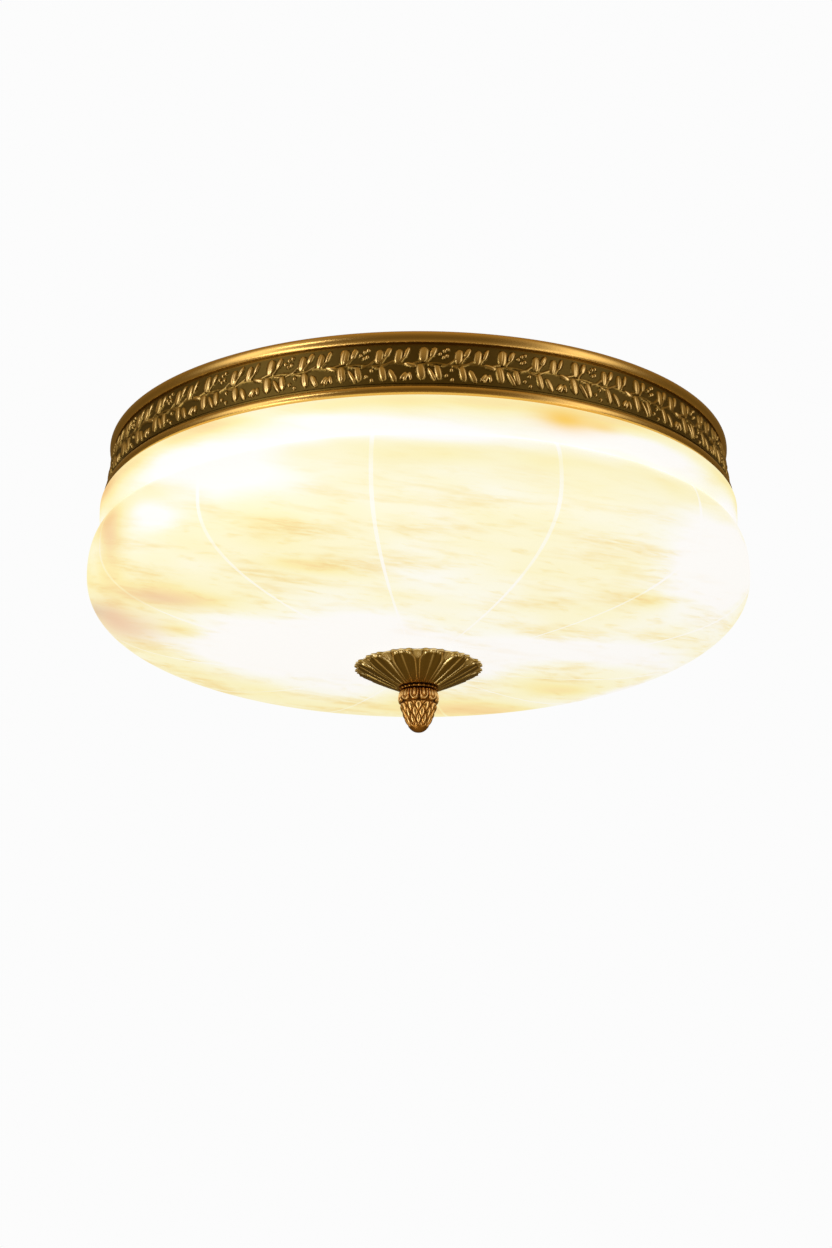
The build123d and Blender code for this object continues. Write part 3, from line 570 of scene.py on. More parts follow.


# %% [markdown]
# The glow is a base, plus a broad noise and the bright lenses and the ring of painted lamp light,
# less the dim lenses, the rings of painted shade and the veins. It picks the tone from the ramp.
# The veins take their ochre mostly where the stone is dim.

# %% Alabaster


def alabaster(name, lift=0.0, clouded=1.0):
    """Glowing stone, its glow painted lamp light. The lift brightens the whole pattern, as clear
    resin lets more light through.
    """
    material, tree, shader, place = finish_of(name, Roughness=0.4, Specular_IOR_Level=0.3)
    layers = leaning_nodes(tree, place)
    height = add(tree, "SeparateXYZ", {0: place}).outputs[2]
    broad = clouds(tree, layers, BROAD_SIZE, 2.0)
    cloud = clouds(tree, layers, CLOUD_SIZE, 3.0, 0.5, Distortion=0.3)
    thread = clouds(tree, layers, THREAD_SIZE, 5.0, 0.62, Distortion=0.4)
    fleck = clouds(tree, layers, FLECK_SIZE, 4.0, 0.6, Distortion=0.3)
    veiled = ramp(tree, cloud, [(0.47, 0.0), (0.66, 1.0)])
    frayed = ramp(tree, thread, [(0.36, 0.15), (0.6, 1.0)])
    flecked = ramp(tree, fleck, [(0.55, 0.0), (0.72, 0.7)])
    # the veins are faint above the crease and strong on the underside
    lower = ramp(tree, calc(tree, "MULTIPLY", height, -5.0), [(0.5, 0.25), (0.7, 1.0)])
    marks = calc(tree, "MAXIMUM", calc(tree, "MULTIPLY", veiled, frayed), flecked)
    veins = calc(tree, "MULTIPLY", marks, lower)
    base = {0: broad, 1: BROAD_GLOW, 2: BASE_GLOW + lift}
    glow = add(tree, "Math", base, operation="MULTIPLY_ADD").outputs[0]
    for more in (patches(tree, layers, LAMP_LIGHT_SPOTS), ring_light(tree, height, *LAMP_LIGHT_RING)):
        glow = calc(tree, "ADD", glow, more)
    dimmer = [patches(tree, layers, DIM_SPOTS)]
    dimmer += [ring_light(tree, height, *ring) for ring in SHADE_RINGS]
    dimmer += [calc(tree, "MULTIPLY", veins, VEIN_DARK * clouded)]
    for less in dimmer:
        glow = calc(tree, "SUBTRACT", glow, less)
    tone = ramp(tree, calc(tree, "ADD", glow, 0.0, clamp=True), CREAM)
    shown = calc(tree, "MULTIPLY", veins, calc(tree, "SUBTRACT", TINT_FADE, glow, clamp=True))
    tone = tinted(tree, calc(tree, "MULTIPLY", shown, VEIN_TINT * clouded), tone, OCHRE)
    tone = tinted(tree, patches(tree, layers, BLUSHES), tone, BLUSH)
    tone = tinted(tree, patches(tree, layers, AMBERS), tone, AMBER)
    tone = tinted(tree, patches(tree, layers, LILACS), tone, LILAC)
    # the base colour is the same tone at the share PALE, with the painted lamp light and shade in it
    tree.links.new(tinted(tree, 1 - PALE, tone, (0.0, 0.0, 0.0)), shader.inputs["Base Color"])
    tree.links.new(tone, shader.inputs["Emission Color"])
    shader.inputs["Emission Strength"].default_value = GLOW
    return material


stone = alabaster("alabaster")
resin = alabaster("seam_resin", lift=0.15, clouded=0.4)
print("nodes in the stone's tree:", len(stone.node_tree.nodes))

# %% [markdown]
# The bowl's outline is a quarter ellipse from the crease to the bulge, then a superellipse, which
# is fuller than an ellipse at its corner, to the flat middle. The inner face is the same outline,
# one wall thickness in. Each gore carries it through a twelfth of a turn, less the resin seam.

# %% Gores
BOWL_R = 0.2499
STONE_WALL = 6 * MM
CREASE_R = 0.239
NECK_R = 0.2332
SHOULDER_R = 0.2422
RIM_Z, NECK_Z, SHOULDER_Z, CREASE_Z, BULGE_Z = -0.0413, -0.0489, -0.058, -0.0775, -0.1041
BOWL_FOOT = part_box("gore_01")[0].z
FULLNESS = 2.63
HOLE_R = 9 * MM
FLAT_R = 52 * MM
GORES = 12
FIRST_SEAM = np.radians(-97.3)
SEAM = np.radians(0.69)


def bowl_side(inset):
    """One face of the wall, from the crease down to the hole."""
    top = arc((CREASE_R - inset, BULGE_Z), BOWL_R - CREASE_R, CREASE_Z - BULGE_Z, 90, 0, 20)
    reach, depth = BOWL_R - inset, BULGE_Z - BOWL_FOOT - inset
    turn = np.linspace(0, np.pi / 2, 60)[1:]
    radius = reach * np.cos(turn) ** (2 / FULLNESS)
    height = BULGE_Z - depth * np.sin(turn) ** (2 / FULLNESS)
    lower = np.stack([radius, height], -1)[radius > FLAT_R]
    return np.vstack([top, lower, [(FLAT_R, BOWL_FOOT + inset), (HOLE_R, BOWL_FOOT + inset)]])


gore_outline = np.vstack([bowl_side(0), bowl_side(STONE_WALL)[::-1]])
gore_angle = TURN / GORES
for number in range(GORES):
    start = FIRST_SEAM + number * gore_angle + SEAM / 2
    angles = np.linspace(start, start + gore_angle - SEAM, 40)
    points = turned(gore_outline, angles)
    gore = piece(f"stone_gore_{number + 1:02d}", points, close_columns=False, caps=True)
    wear(gore, stone, "alabaster", "bowl", f"gore_{number + 1:02d}")
print("faces of a gore:", len(gore.data.polygons))

# %% [markdown]
# The collar is a ring of its own above the crease. It is a turned outline too, with the outer face
# first and the inner face back up. The seams fill the gaps between the gores with clear resin.

# %% Collar and seams
LEDGE_Z = NECK_Z - 0.3 * MM
SHOULDER_ROUND = 4.5 * MM
INNER_ROUND = 2.0 * MM


def collar_side(inset, ledge, round_r):
    """One face of the collar: upright neck, ledge, round shoulder and tuck to the crease."""
    corner = arc((SHOULDER_R - inset - round_r, ledge - round_r), round_r, round_r, 90, 0, 12)
    swell = SHOULDER_R - CREASE_R
    tuck = arc((CREASE_R - inset, SHOULDER_Z), swell, SHOULDER_Z - CREASE_Z, 0, -90)
    return np.vstack([[(NECK_R - inset, RIM_Z), (NECK_R - inset, ledge)], corner, tuck])


collar_outer = collar_side(0, LEDGE_Z, SHOULDER_ROUND)
collar_inner = collar_side(STONE_WALL, LEDGE_Z - STONE_WALL, INNER_ROUND)
collar_outline = np.vstack([collar_outer, collar_inner[::-1]])
collar = piece("stone_collar", turned(collar_outline, around[::2]))
wear(collar, stone, "alabaster", "bowl", "alabaster_collar")

for number in range(GORES):
    middle = FIRST_SEAM + number * gore_angle
    angles = np.linspace(middle - SEAM / 2, middle + SEAM / 2, 3)
    points = turned(gore_outline, angles)
    seam = piece(f"resin_seam_{number + 1:02d}", points, close_columns=False, caps=True)
    wear(seam, resin, "seam_resin", "bowl", *(["seam_resin"] if number == 0 else []))
print("collar faces:", len(collar.data.polygons), "seam faces:", len(seam.data.polygons))

# %% [markdown]
# ## The rosette
# The cup is cast brass: twelve petals with a rib down the middle, a raised arch around each, and
# small pointed leaves between the arches. Each petal could be modelled and copied, but the
# petals share one height function of the angle, so the whole cup is one grid. A grid row is a
# ring, pushed out along the flank's normal by that height.

# %% Rosette sizes
ROSETTE_TOP, ROSETTE_FOOT = -169.0, -185.8  # millimetres, as all sizes of the two castings
ROSETTE_R = 48.9
ROSETTE_FOOT_R = 15.0
ROSETTE_LIP = 1.0
ROSETTE_SAG, ROSETTE_DIP = 3.5, 2.6  # how far the flank's middle lies off a straight line
PETALS = 12
FIRST_PETAL = -106.0
PETAL_NOTCH = 2.4
RIM_WAVE = 0.7
ARCH_TOP = 0.012
ARCH_FOOT = 0.31
ARCH_HALF = 0.84  # half width of an arch, where a petal's half width is 1
PETAL_DEPTH = 0.95
RIM_CHAMFER = 0.3
BORE_R = 5.5
CUP_FLOOR = 4.0  # thickness of the foot
CUP_FLOOR_R = 12.0
FELT_Z = -171.0
FELT_INNER_R, FELT_OUTER_R = 35.0, 42.0


def through(points, count):
    """A curve through three points, as the parabola that meets the middle one halfway."""
    start, middle, end = (np.array(point, float) for point in points)
    t = np.linspace(0, 1, count)[:, None]
    return start * (1 - t) * (1 - 2 * t) + middle * 4 * t * (1 - t) + end * t * (2 * t - 1)


def petal_relief(a, t):
    """Height in mm. a runs from -1 to 1 across a petal, t from 0 at the rim to 1 at the foot. The
    arch and the rib are bell curves across their lines, and the flutes between them are sines."""
    side = np.abs(a)
    arch = np.clip((ARCH_FOOT - t) / (ARCH_FOOT - ARCH_TOP), 0, 1)
    border = ARCH_HALF * np.sqrt(np.clip(1 - arch**2.4, 0, 1))
    beyond = np.where(t < ARCH_TOP, 1.0, side - border)
    outline = np.exp(-((beyond / 0.1) ** 2))
    top = np.exp(-(((t - ARCH_TOP - 0.01 - 0.1 * side**2) / 0.035) ** 2)) * (side < 0.62)
    outline = np.maximum(outline, top)
    inside = np.clip(-beyond / 0.12, 0, 1)
    rib = np.exp(-((a / 0.17) ** 2)) * np.clip((t - ARCH_TOP) / 0.1, 0, 1)
    flute = -1.15 * inside * np.sin(np.pi * np.clip(side / ARCH_HALF, 0, 1)) ** 0.8
    groove = -1.5 * np.exp(-(((side - 1) / 0.09) ** 2)) * np.clip((t - 0.16) / 0.12, 0, 1)
    leaf_tip = 1.4 * np.clip(1 - np.hypot((1 - side) / 0.34, (t - 0.03) / 0.14), 0, 1) ** 0.6
    fade = 1 - 0.4 * t
    height = np.maximum(1.1 * outline, 0.9 * rib) + flute + groove
    return np.maximum(height * fade, leaf_tip)


# %% [markdown]
# The flank is a curve from the rim to the foot. Its normal at each row says which way a petal's
# height goes. The inside is plain: a bore for the rod, a floor, and a seat for the felt. The same
# heights also set the tone: the patina, with painted shade in the hollows and painted highlights on
# the ribs, the arches and the rim's bumps, except at the smooth foot.

# %% Rosette
PETAL_COLUMNS = 56
FLANK_ROWS = 84
FOOT_FROM, FOOT_BAND = 0.78, 0.16  # where the petals' tones fade to the foot's, and over what
FOOT_TONE = 0.5
middle_r, middle_z = (ROSETTE_R + ROSETTE_FOOT_R) / 2, (ROSETTE_TOP + ROSETTE_FOOT) / 2
flank = through(
    [
        (ROSETTE_R, ROSETTE_TOP - ROSETTE_LIP),
        (middle_r - ROSETTE_SAG, middle_z - ROSETTE_DIP),
        (ROSETTE_FOOT_R, ROSETTE_FOOT),
    ],
    FLANK_ROWS,
)
slope = np.gradient(flank, axis=0)
normal = np.stack([-slope[:, 1], slope[:, 0]], -1)
normal *= -1 / np.hypot(*normal.T)[:, None]
turn_angle = np.arange(PETALS * PETAL_COLUMNS) * TURN / PETALS / PETAL_COLUMNS
petal_place = (turn_angle * PETALS / TURN + 0.5) % 1 * 2 - 1
down = np.linspace(0, 1, len(flank))
heights = petal_relief(petal_place[None, :], down[:, None])
rim_edge = RIM_WAVE * np.cos(petal_place * np.pi * 4) - PETAL_NOTCH * np.abs(petal_place) ** 3
to_rim = np.clip((flank[:, :1] - ROSETTE_FOOT_R) / (ROSETTE_R - ROSETTE_FOOT_R), 0, 1) ** 3
flank_r = flank[:, :1] + normal[:, :1] * heights * PETAL_DEPTH + to_rim * (rim_edge - RIM_WAVE)
flank_z = flank[:, 1:] + normal[:, 1:] * (heights - 1.0) * PETAL_DEPTH
flank_z = np.maximum(flank_z, ROSETTE_FOOT)
floor_z = ROSETTE_FOOT + CUP_FLOOR
inner = [(BORE_R, ROSETTE_FOOT), (BORE_R, floor_z), (CUP_FLOOR_R, floor_z)]
inner += [(FELT_INNER_R, FELT_Z), (FELT_OUTER_R, FELT_Z), (FELT_OUTER_R, ROSETTE_TOP)]
inner_r, inner_z = (np.array(inner)[:, k : k + 1] + 0 * turn_angle for k in (0, 1))
rim_top_r = flank_r[:1] - RIM_CHAMFER
rows_r = np.vstack([flank_r, inner_r, rim_top_r])
rows_z = np.vstack([flank_z, inner_z, ROSETTE_TOP + 0 * rim_top_r])
angle = np.radians(FIRST_PETAL) + turn_angle
rosette_points = np.stack([rows_r * np.cos(angle), rows_r * np.sin(angle), rows_z], -1) * MM
# painted highlights on the rim's bumps: bright on each bump, dark between
rim_bump_highlight = 0.5 + 0.5 * np.cos(petal_place * np.pi * 4)
rim_bump_highlight = rim_bump_highlight * np.exp(-((down[:, None] / 0.06) ** 2))
to_foot = np.clip((down[:, None] - FOOT_FROM) / FOOT_BAND, 0, 1)
# the tone follows the heights: patina with painted shade in the hollows and painted highlights on the
# crests
rubbed_and_lit = np.clip(0.26 + heights * 0.8 + 0.2 * rim_bump_highlight, 0, 1)
flank_shade = rubbed_and_lit * (1 - to_foot) + FOOT_TONE * to_foot
rosette_shade = np.vstack([flank_shade, np.full(inner_r.shape, 0.2), 0.1 + 0.3 * rim_bump_highlight[:1]])
rosette = piece("rosette_cast", rosette_points, relief=rosette_shade)
rosette_brass = antique(
    "rosette_brass", (0.09, 0.05, 0.008), (0.42, 0.27, 0.062), (1.0, 0.8, 0.42), (0.42, 0.27), 0.1
)
wear(rosette, rosette_brass, "rosette_brass", "rosette", "rosette")
print("rosette faces:", len(rosette.data.polygons))

# %% [markdown]
# ## The pine cone
# The knob has a beaded collar, a ring of twelve scales like the letter U, then a lattice of
# diamond scales, down to a plain round tip. Two families of spirals cross in the lattice, so a
# scale is where both of two counters, one for each family, are away from a whole number.
# Multiplying two arches of those counters gives a raised diamond.

# %% Pine cone sizes
CONE_TOP, CONE_WIDEST, CONE_FOOT = -186.1, -195.0, -220.1
CONE_R = 15.4
CONE_NECK_R = 13.2
CONE_NECK = 2.2
ROD_BORE_R = 5.1
BORE_END = -205.0
SCALES = 12
DIAMONDS = 12
LATTICE_START = 0.557  # puts a diamond of the first row at the front
LATTICE_LIFT = 0.05  # lifts the rows by a twentieth of the body
BEAD_DEPTH = 0.4
CONE_DEPTH = 1.5
CONE_BLUNT = 0.391  # a half would make a parabola, and less is blunter
FIRST_SCALE = -103.3
LATTICE_TURNS = 2.5
RING_FOOT, LATTICE_FOOT = -198.4, -216.8
RING_EASE, TIP_EASE = 1.2, 1.5  # heights over which the lattice fades in and out
TIP_HEIGHT = 0.9


def scale_relief(a, w):
    """The ring of U scales: a is in scales around, w from 0 at the neck to 1 at the ring's foot.
    The edge is a bell curve across a superellipse, and a tongue stands inside it."""
    a = (a + 0.5) % 1 - 0.5
    edge = (np.abs(a) / 0.44) ** 2.6 + (np.clip(w - 0.35, 0, 1) / 0.6) ** 2.6
    ridge = np.exp(-(((edge - 0.66) / 0.36) ** 2)) * (edge < 1.5)
    tongue = np.exp(-((a / 0.15) ** 2)) * np.clip((0.72 - w) / 0.12, 0, 1)
    return np.maximum(ridge, 0.9 * tongue) * np.clip(w / 0.1, 0, 1)


def lattice_relief(a, s):
    """The diamonds, as the product of two arches: a is in scales around, s in body lengths."""
    first, second = a + LATTICE_TURNS * s, a - LATTICE_TURNS * s
    arches = [1 - np.abs(2 * (counter % 1) - 1) ** 2.2 for counter in (first, second)]
    return (arches[0] * arches[1]) ** 0.7


# %% Pine cone
RING_ROWS, BODY_ROWS, SCALE_COLUMNS = 24, 110, 32
NECK_FOOT = CONE_TOP - CONE_NECK
ring_steps = np.linspace(0, 1, RING_ROWS)[:-1]
cone_steps = 1 - np.linspace(1, 0, BODY_ROWS) ** 1.25  # closer rows at the tip
ring_r = CONE_NECK_R + (CONE_R - CONE_NECK_R) * np.sin(ring_steps * np.pi / 2)
ring_z = NECK_FOOT + (CONE_WIDEST - NECK_FOOT) * (1 - np.cos(ring_steps * np.pi / 2) ** 1.2)
cone_r = CONE_R * np.clip(1 - cone_steps, 0, 1) ** CONE_BLUNT
cone_z = CONE_WIDEST + (CONE_FOOT - CONE_WIDEST) * cone_steps
scale_angle = np.arange(SCALES * SCALE_COLUMNS) * TURN / SCALES / SCALE_COLUMNS
whole_z = np.r_[ring_z, cone_z][:, None]
in_ring = (whole_z[0] - whole_z) / (whole_z[0] - RING_FOOT)
below_ring = np.clip((RING_FOOT - whole_z) / RING_EASE, 0, 1)
above_tip = np.clip((whole_z - LATTICE_FOOT) / TIP_EASE, 0, 1)
turns = scale_angle[None, :] / TURN
ring_height = scale_relief(turns * SCALES, in_ring)
below = (RING_FOOT - whole_z) / (CONE_WIDEST - CONE_FOOT)
lattice = lattice_relief(turns * DIAMONDS + LATTICE_START, below + LATTICE_LIFT)
bare_tip = 1 - above_tip
body_height = lattice * below_ring * above_tip + TIP_HEIGHT * bare_tip
cone_height = np.where(in_ring < 1, ring_height, body_height)
body_r = np.r_[ring_r, cone_r][:, None]
body_r = body_r - CONE_DEPTH * (1 - cone_height) * np.clip(body_r / 6, 0, 1)
body_z = whole_z + 0 * scale_angle
# the bore from its end to the top, then the collar's bead
head = [(ROD_BORE_R, BORE_END), (ROD_BORE_R, CONE_TOP), (13.6, CONE_TOP)]
head += [(14.5, CONE_TOP - 0.5), (14.8, CONE_TOP - 1.1), (14.3, CONE_TOP - 1.8)]
head_r, head_z = (np.array(head)[:, k : k + 1] + 0 * scale_angle for k in (0, 1))
scallop = np.cos(scale_angle * SCALES * 2)
head_r[2:] += BEAD_DEPTH * scallop
bore_end = (0 * scale_angle)[None, :]
rows_r = np.vstack([bore_end, head_r, body_r])
rows_z = np.vstack([bore_end + BORE_END, head_z, body_z])
angle = np.radians(FIRST_SCALE) + scale_angle
cone_points = np.stack([rows_r * np.cos(angle), rows_r * np.sin(angle), rows_z], -1) * MM
# the collar is dark with painted shade under the rosette, with painted glints on its bumps
head_shade = np.full(head_r.shape, 0.08) + 0.3 * np.clip(scallop, 0, 1)
# the tone follows the height: patina with painted shade in the grooves, painted highlights on the
# diamonds, the tip darker
cone_shade = np.vstack([0 * bore_end, head_shade, cone_height - 0.6 * bare_tip])
cone = piece("pine_cone", cone_points, close_rows=False, relief=cone_shade)
cone_brass = antique(
    "cone_brass", (0.1, 0.035, 0.004), (0.6, 0.28, 0.055), (1.0, 0.64, 0.25), (0.4, 0.25), 0.1
)
wear(cone, cone_brass, "finial_brass", "finial", "pine_cone_finial")
print("cone faces:", len(cone.data.polygons))

# %% [markdown]
# ## Threads
# The rod and the lamp caps are threaded. A groove painted on a plain cylinder looks flat from the
# side, so the thread is in the mesh: a tube whose radius waves along its length, with the wave
# shifted by one pitch for each turn around it.

# %% Threaded tubes
ROD_R = 4.95 * MM
ROD_PITCH = 1.5 * MM
ROD_THREAD = 0.8 * MM
CAP_R = 13.1 * MM
CAP_PITCH = 3.6 * MM
CAP_THREAD = 1.1 * MM
CAP_FROM, CAP_TO = 0.0605, 0.0868  # from the rod's axis
LAMP_Z = -0.08  # the lamps' axes
LAMPS = 4


def threaded(start, stop, crest, depth, pitch, columns=32, per_pitch=8):
    """Along, radius and angle of each point: the radius drops from the crest by a wave that moves
    on by one pitch in a turn. The first and last rows lie on the axis and close the ends."""
    rows = int((stop - start) / pitch * per_pitch) + 1
    steps = np.linspace(start, stop, rows)
    angles = np.arange(columns) * TURN / columns
    along, angle = np.meshgrid(np.r_[start, steps, stop], angles, indexing="ij")
    wave = 0.5 - 0.5 * np.cos(TURN * along / pitch - angle)
    radius = crest - depth * wave
    radius[[0, -1]] = 0
    return along, radius, angle


rod_foot, rod_top = (corner.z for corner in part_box("center_rod"))
along, radius, angle = threaded(rod_foot, rod_top, ROD_R, ROD_THREAD, ROD_PITCH, 24, 6)
rod_points = np.stack([radius * np.cos(angle), radius * np.sin(angle), along], -1)
rod = piece("threaded_rod", rod_points, close_rows=False)

caps = []
for number in range(LAMPS):
    out = TURN / LAMPS * (number + 0.5)
    along, radius, angle = threaded(CAP_FROM, CAP_TO, CAP_R, CAP_THREAD, CAP_PITCH)
    side, z = radius * np.cos(angle), LAMP_Z + radius * np.sin(angle)
    x = along * np.cos(out) - side * np.sin(out)
    y = along * np.sin(out) + side * np.cos(out)
    caps.append(piece(f"lamp_{number + 1}_thread", np.stack([x, y, z], -1), close_rows=False))
print("rod faces:", len(rod.data.polygons), "cap faces:", len(caps[0].data.polygons))

# %% [markdown]
# ## The fitting's own finishes
# The pan, the strap, the screws and the holders are plain engineering parts, and their packed
# shapes are right. Each only gets a better material in its slot: zinc with its crystals, enamel
# with spinning rings, glazed porcelain, rubber, felt and woven sleeves.

# %% Metals and enamel


def speckled(name, light, dark, scale, roughness, grain, fineness=1200.0, drawn=1, **sockets):
    """A finish whose colour drifts between two tones, with a fine grain in its surface. Drawn metal
    has its pattern squeezed along Z."""
    material, tree, shader, place = finish_of(name, Roughness=roughness, **sockets)
    spread = add(tree, "Mapping", {"Vector": place, "Scale": (1, 1, drawn)}).outputs[0]
    tone = ramp(tree, noise(tree, spread, scale), [(0.35, dark), (0.65, light)])
    tree.links.new(tone, shader.inputs["Base Color"])
    bumpy(tree, shader, noise(tree, spread, fineness), grain, 0.5)
    return material


def spun_enamel():
    """Warm white enamel over a pan that was spun on a lathe, so faint rings follow the radius."""
    material, tree, shader, place = finish_of("pan_enamel", Roughness=0.38, Coat_Weight=0.3)
    stops = [(0.3, (0.76, 0.74, 0.69)), (0.7, (0.82, 0.805, 0.76))]
    tree.links.new(ramp(tree, noise(tree, place, 30.0), stops), shader.inputs["Base Color"])
    plan = add(tree, "VectorMath", {0: place, 1: (1, 1, 0)}, operation="MULTIPLY").outputs[0]
    radius = add(tree, "VectorMath", {0: plan}, operation="LENGTH").outputs["Value"]
    rings = calc(tree, "SINE", calc(tree, "MULTIPLY", radius, 2600.0))
    parts = {0: rings, 1: 0.4, 2: noise(tree, place, 400.0)}
    bumpy(tree, shader, add(tree, "Math", parts, operation="MULTIPLY_ADD").outputs[0], 0.00005, 0.5)
    return material


def spangled_zinc():
    """Zinc plating: crystals a few millimetres wide, each with its own grey."""
    material, tree, shader, place = finish_of("zinc_steel", Metallic=1.0)
    crystal = add(tree, "TexVoronoi", {"Vector": place, "Scale": 260.0}).outputs["Color"]
    grey = add(tree, "SeparateXYZ", {0: crystal}).outputs[0]
    tone = ramp(tree, grey, [(0.0, (0.42, 0.43, 0.44)), (1.0, (0.62, 0.63, 0.63))])
    tree.links.new(tone, shader.inputs["Base Color"])
    tree.links.new(ramp(tree, grey, [(0.0, 0.3), (1.0, 0.42)]), shader.inputs["Roughness"])
    bumpy(tree, shader, noise(tree, place, 1500.0), 0.00004, 0.4)
    return material


def woven_sleeve():
    """A glass fibre sleeve: two families of slanted threads, as the product of two waves."""
    material, tree, shader, place = finish_of("lead_sleeve", Roughness=0.75)
    threads = []
    for slope in (3000.0, -3000.0):
        inputs = {0: place, 1: (3000.0, 3000.0, slope)}
        slant = add(tree, "VectorMath", inputs, operation="DOT_PRODUCT")
        threads.append(calc(tree, "SINE", slant.outputs["Value"]))
    weave = calc(tree, "MULTIPLY", *threads)
    tone = ramp(tree, weave, [(0.0, (0.62, 0.55, 0.42)), (0.8, (0.8, 0.75, 0.64))])
    tree.links.new(tone, shader.inputs["Base Color"])
    bumpy(tree, shader, weave, 0.0001, 0.6)
    return material


def opal_glass():
    """A lit opal globe: a warm glow, a little stronger on one side, under a glossy skin."""
    material, tree, shader, place = finish_of("lamp_globe", Roughness=0.18)
    glow = ramp(tree, noise(tree, place, 9.0), [(0.3, (1.0, 0.82, 0.58)), (0.7, (1.0, 0.9, 0.72))])
    tree.links.new(glow, shader.inputs["Base Color"])
    tree.links.new(glow, shader.inputs["Emission Color"])
    shader.inputs["Emission Strength"].default_value = 1.1
    return material


# name, light tone, dark tone, scale of the drift, roughness and depth of the grain
SPECKLED = [
    ("plain_brass", (0.8, 0.62, 0.28), (0.66, 0.47, 0.18), 120, 0.3, 0.00004),
    ("lamp_cap_metal", (0.72, 0.7, 0.66), (0.58, 0.57, 0.55), 220, 0.26, 0.00003),
    ("black_rubber", (0.035, 0.034, 0.033), (0.018, 0.018, 0.018), 150, 0.7, 0.00012),
    ("gasket_silicone", (0.78, 0.76, 0.7), (0.68, 0.65, 0.58), 90, 0.45, 0.00006),
    ("terminal_nylon", (0.8, 0.78, 0.7), (0.72, 0.7, 0.61), 70, 0.36, 0.00005),
    ("porcelain", (0.86, 0.85, 0.81), (0.78, 0.765, 0.72), 60, 0.14, 0.00005),
    ("felt", (0.09, 0.13, 0.085), (0.045, 0.07, 0.045), 700, 0.95, 0.0004),
    ("lamp_neck_plastic", (0.84, 0.83, 0.8), (0.77, 0.76, 0.72), 45, 0.4, 0.00005),
]
EXTRAS = {
    "plain_brass": {"drawn": 4, "Metallic": 1.0},
    "lamp_cap_metal": {"Metallic": 1.0},
    "porcelain": {"fineness": 300.0, "Coat_Weight": 0.6},
    "felt": {"fineness": 900.0, "Sheen_Weight": 0.6},
}
finishes = {row[0]: speckled(*row, **EXTRAS.get(row[0], {})) for row in SPECKLED}
finishes |= {
    "alabaster": stone,
    "seam_resin": resin,
    "antique_brass": bead_brass,
    "rosette_brass": rosette_brass,
    "finial_brass": cone_brass,
    "zinc_steel": spangled_zinc(),
    "pan_enamel": spun_enamel(),
    "lead_sleeve": woven_sleeve(),
    "lamp_globe": opal_glass(),
}
print("finishes:", len(finishes))

# %% [markdown]
# The rod and the lamp caps get their threads' meshes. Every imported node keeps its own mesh, and its
# material slots get the finish that their name in the record asks for.

# %% Put them on
wear(rod, finishes["zinc_steel"], "zinc_steel", "fixture", "center_rod")
for number, cap in enumerate(caps, 1):
    wear(cap, finishes["lamp_cap_metal"], "lamp_cap_metal", f"lamp_{number}", f"lamp_{number}_cap")
for node in nodes.values():
    for slot in node.material_slots:
        slot.material = finishes[slot.material.name.split(".")[0]]
print("dressed nodes:", len(nodes))

# %% [markdown]
# ## The studio
# The photograph is taken from below, about 22 degrees under the rim, with a long lens. The wall
# behind is plain white. Brass only looks like brass if it has dark and bright places to mirror,
# so the camera sees the white wall while the metal mirrors a dim warm room. Soft boxes could be
# area lights, but their edges show in round brass. So the room itself has two soft bright strips
# on its walls, and a faint warm glow from overhead and from below.

# %% Camera
CAMERA_PLACE = (0.0, -1.8316, -0.7286)
CAMERA_TILT = 107.95
LENS = 73.484
SHIFT = -0.002
camera_data = bpy.data.cameras.new("camera")
camera_data.lens = LENS
camera_data.shift_x = SHIFT
camera = bpy.data.objects.new("camera", camera_data)
camera.location = CAMERA_PLACE
camera.rotation_euler = (np.radians(CAMERA_TILT), 0, 0)
bpy.context.scene.collection.objects.link(camera)
bpy.context.scene.camera = camera
print("camera at", CAMERA_PLACE, "lens", LENS)

# %% The room that the brass mirrors
WALL_WHITE = 0.973
DIM = (0.075, 0.052, 0.016)
# azimuth (0 is the camera's side, +90 is +X), elevation, spread, flattening and colour
LOBES = [
    (-60, 0, 13, 0.25, (1.75, 1.7, 1.6)),
    (60, 0, 13, 0.25, (1.7, 1.62, 1.5)),
    (0, 90, 58, 1.0, (0.36, 0.25, 0.1)),
    (0, -90, 58, 1.0, (0.27, 0.2, 0.095)),
]
world = bpy.data.worlds.new("studio")
world.use_nodes = True
bpy.context.scene.world = world
sky = world.node_tree
toward = add(sky, "TexCoord").outputs["Generated"]


def direction(azimuth, elevation):
    """The unit vector towards a place on the room's walls."""
    side, up = np.radians(azimuth), np.radians(elevation)
    return np.array([np.sin(side) * np.cos(up), -np.cos(side) * np.cos(up), np.sin(up)])


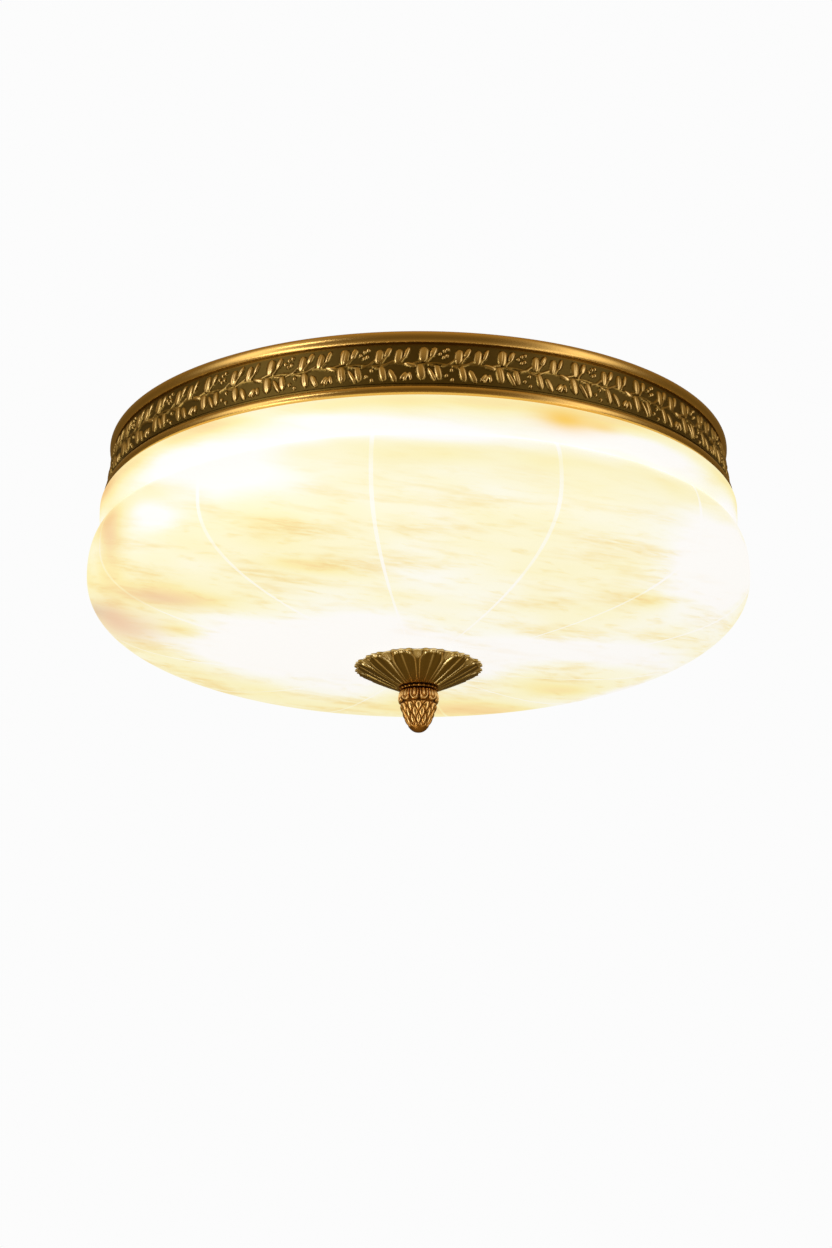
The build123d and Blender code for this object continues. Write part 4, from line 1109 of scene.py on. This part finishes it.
room_light = None
for azimuth, elevation, spread, flatten, colour in LOBES:
    inputs = {0: toward, 1: (1.0, 1.0, flatten)}
    squashed = add(sky, "VectorMath", inputs, operation="MULTIPLY").outputs[0]
    level = add(sky, "VectorMath", {0: squashed}, operation="NORMALIZE").outputs[0]
    inputs = {0: level, 1: tuple(direction(azimuth, elevation))}
    cosine = add(sky, "VectorMath", inputs, operation="DOT_PRODUCT").outputs["Value"]
    width = float(1 - np.cos(np.radians(spread)))
    bell = calc(sky, "EXPONENT", calc(sky, "DIVIDE", calc(sky, "SUBTRACT", cosine, 1.0), width))
    inputs = {0: bell, 1: colour, 2: DIM if room_light is None else room_light}
    room_light = add(sky, "VectorMath", inputs, operation="MULTIPLY_ADD").outputs[0]
room = sky.nodes["Background"]
sky.links.new(room_light, room.inputs["Color"])
wall = add(sky, "Background", {"Color": (WALL_WHITE, WALL_WHITE, WALL_WHITE, 1)})
seen = add(sky, "LightPath").outputs["Is Camera Ray"]
mixed = add(sky, "MixShader", {0: seen, 1: room.outputs[0], 2: wall.outputs[0]})
sky.links.new(mixed.outputs[0], sky.nodes["World Output"].inputs["Surface"])
bpy.context.scene.view_settings.view_transform = "Standard"
print("glows in the room:", len(LOBES))

# %% [markdown]
# The floor is pale, far below, and only shows in views from above. The brass was matched without
# it, so it stays out of the mirror. Three weak soft lights lift the leaves of the frieze and the
# rosette, whose underside faces down.

# %% Floor and lights
FLOOR_Z = -2.4
FLOOR_HALF = 6.0
floor_corners = FLOOR_HALF * np.array([(-1, -1), (1, -1), (1, 1), (-1, 1)])
floor_mesh = bpy.data.meshes.new("floor")
floor_mesh.from_pydata([(x, y, FLOOR_Z) for x, y in floor_corners.tolist()], [], [(0, 1, 2, 3)])
floor = bpy.data.objects.new("floor", floor_mesh)
bpy.context.scene.collection.objects.link(floor)
floor_paint = finish_of(
    "floor_paint",
    Roughness=0.8,
    Base_Color=(0.8, 0.79, 0.77, 1),
    Emission_Color=(0.42, 0.48, 0.58, 1),
    Emission_Strength=1.0,
)[0]
floor.visible_glossy = False
floor.visible_diffuse = False
floor_mesh.materials.append(floor_paint)


# name, azimuth, elevation, width and height in metres, power
LIGHTS = [
    ("key_light", -38, 14, 0.35, 0.35, 1.6),
    ("low_strip_left", -52, -48, 0.3, 1.1, 3.6),
    ("low_strip_right", 56, -46, 0.3, 1.1, 1.2),
]
LIGHT_AWAY = 1.6
for name, azimuth, elevation, wide, high, power in LIGHTS:
    panel = bpy.data.lights.new(name, "AREA")
    panel.shape = "RECTANGLE"
    panel.size, panel.size_y = wide, high
    panel.energy = power
    light = bpy.data.objects.new(name, panel)
    light.location = direction(azimuth, elevation) * LIGHT_AWAY
    light.rotation_euler = (np.radians(90 - elevation), 0, np.radians(azimuth))
    bpy.context.scene.collection.objects.link(light)
print("lights:", len(LIGHTS))
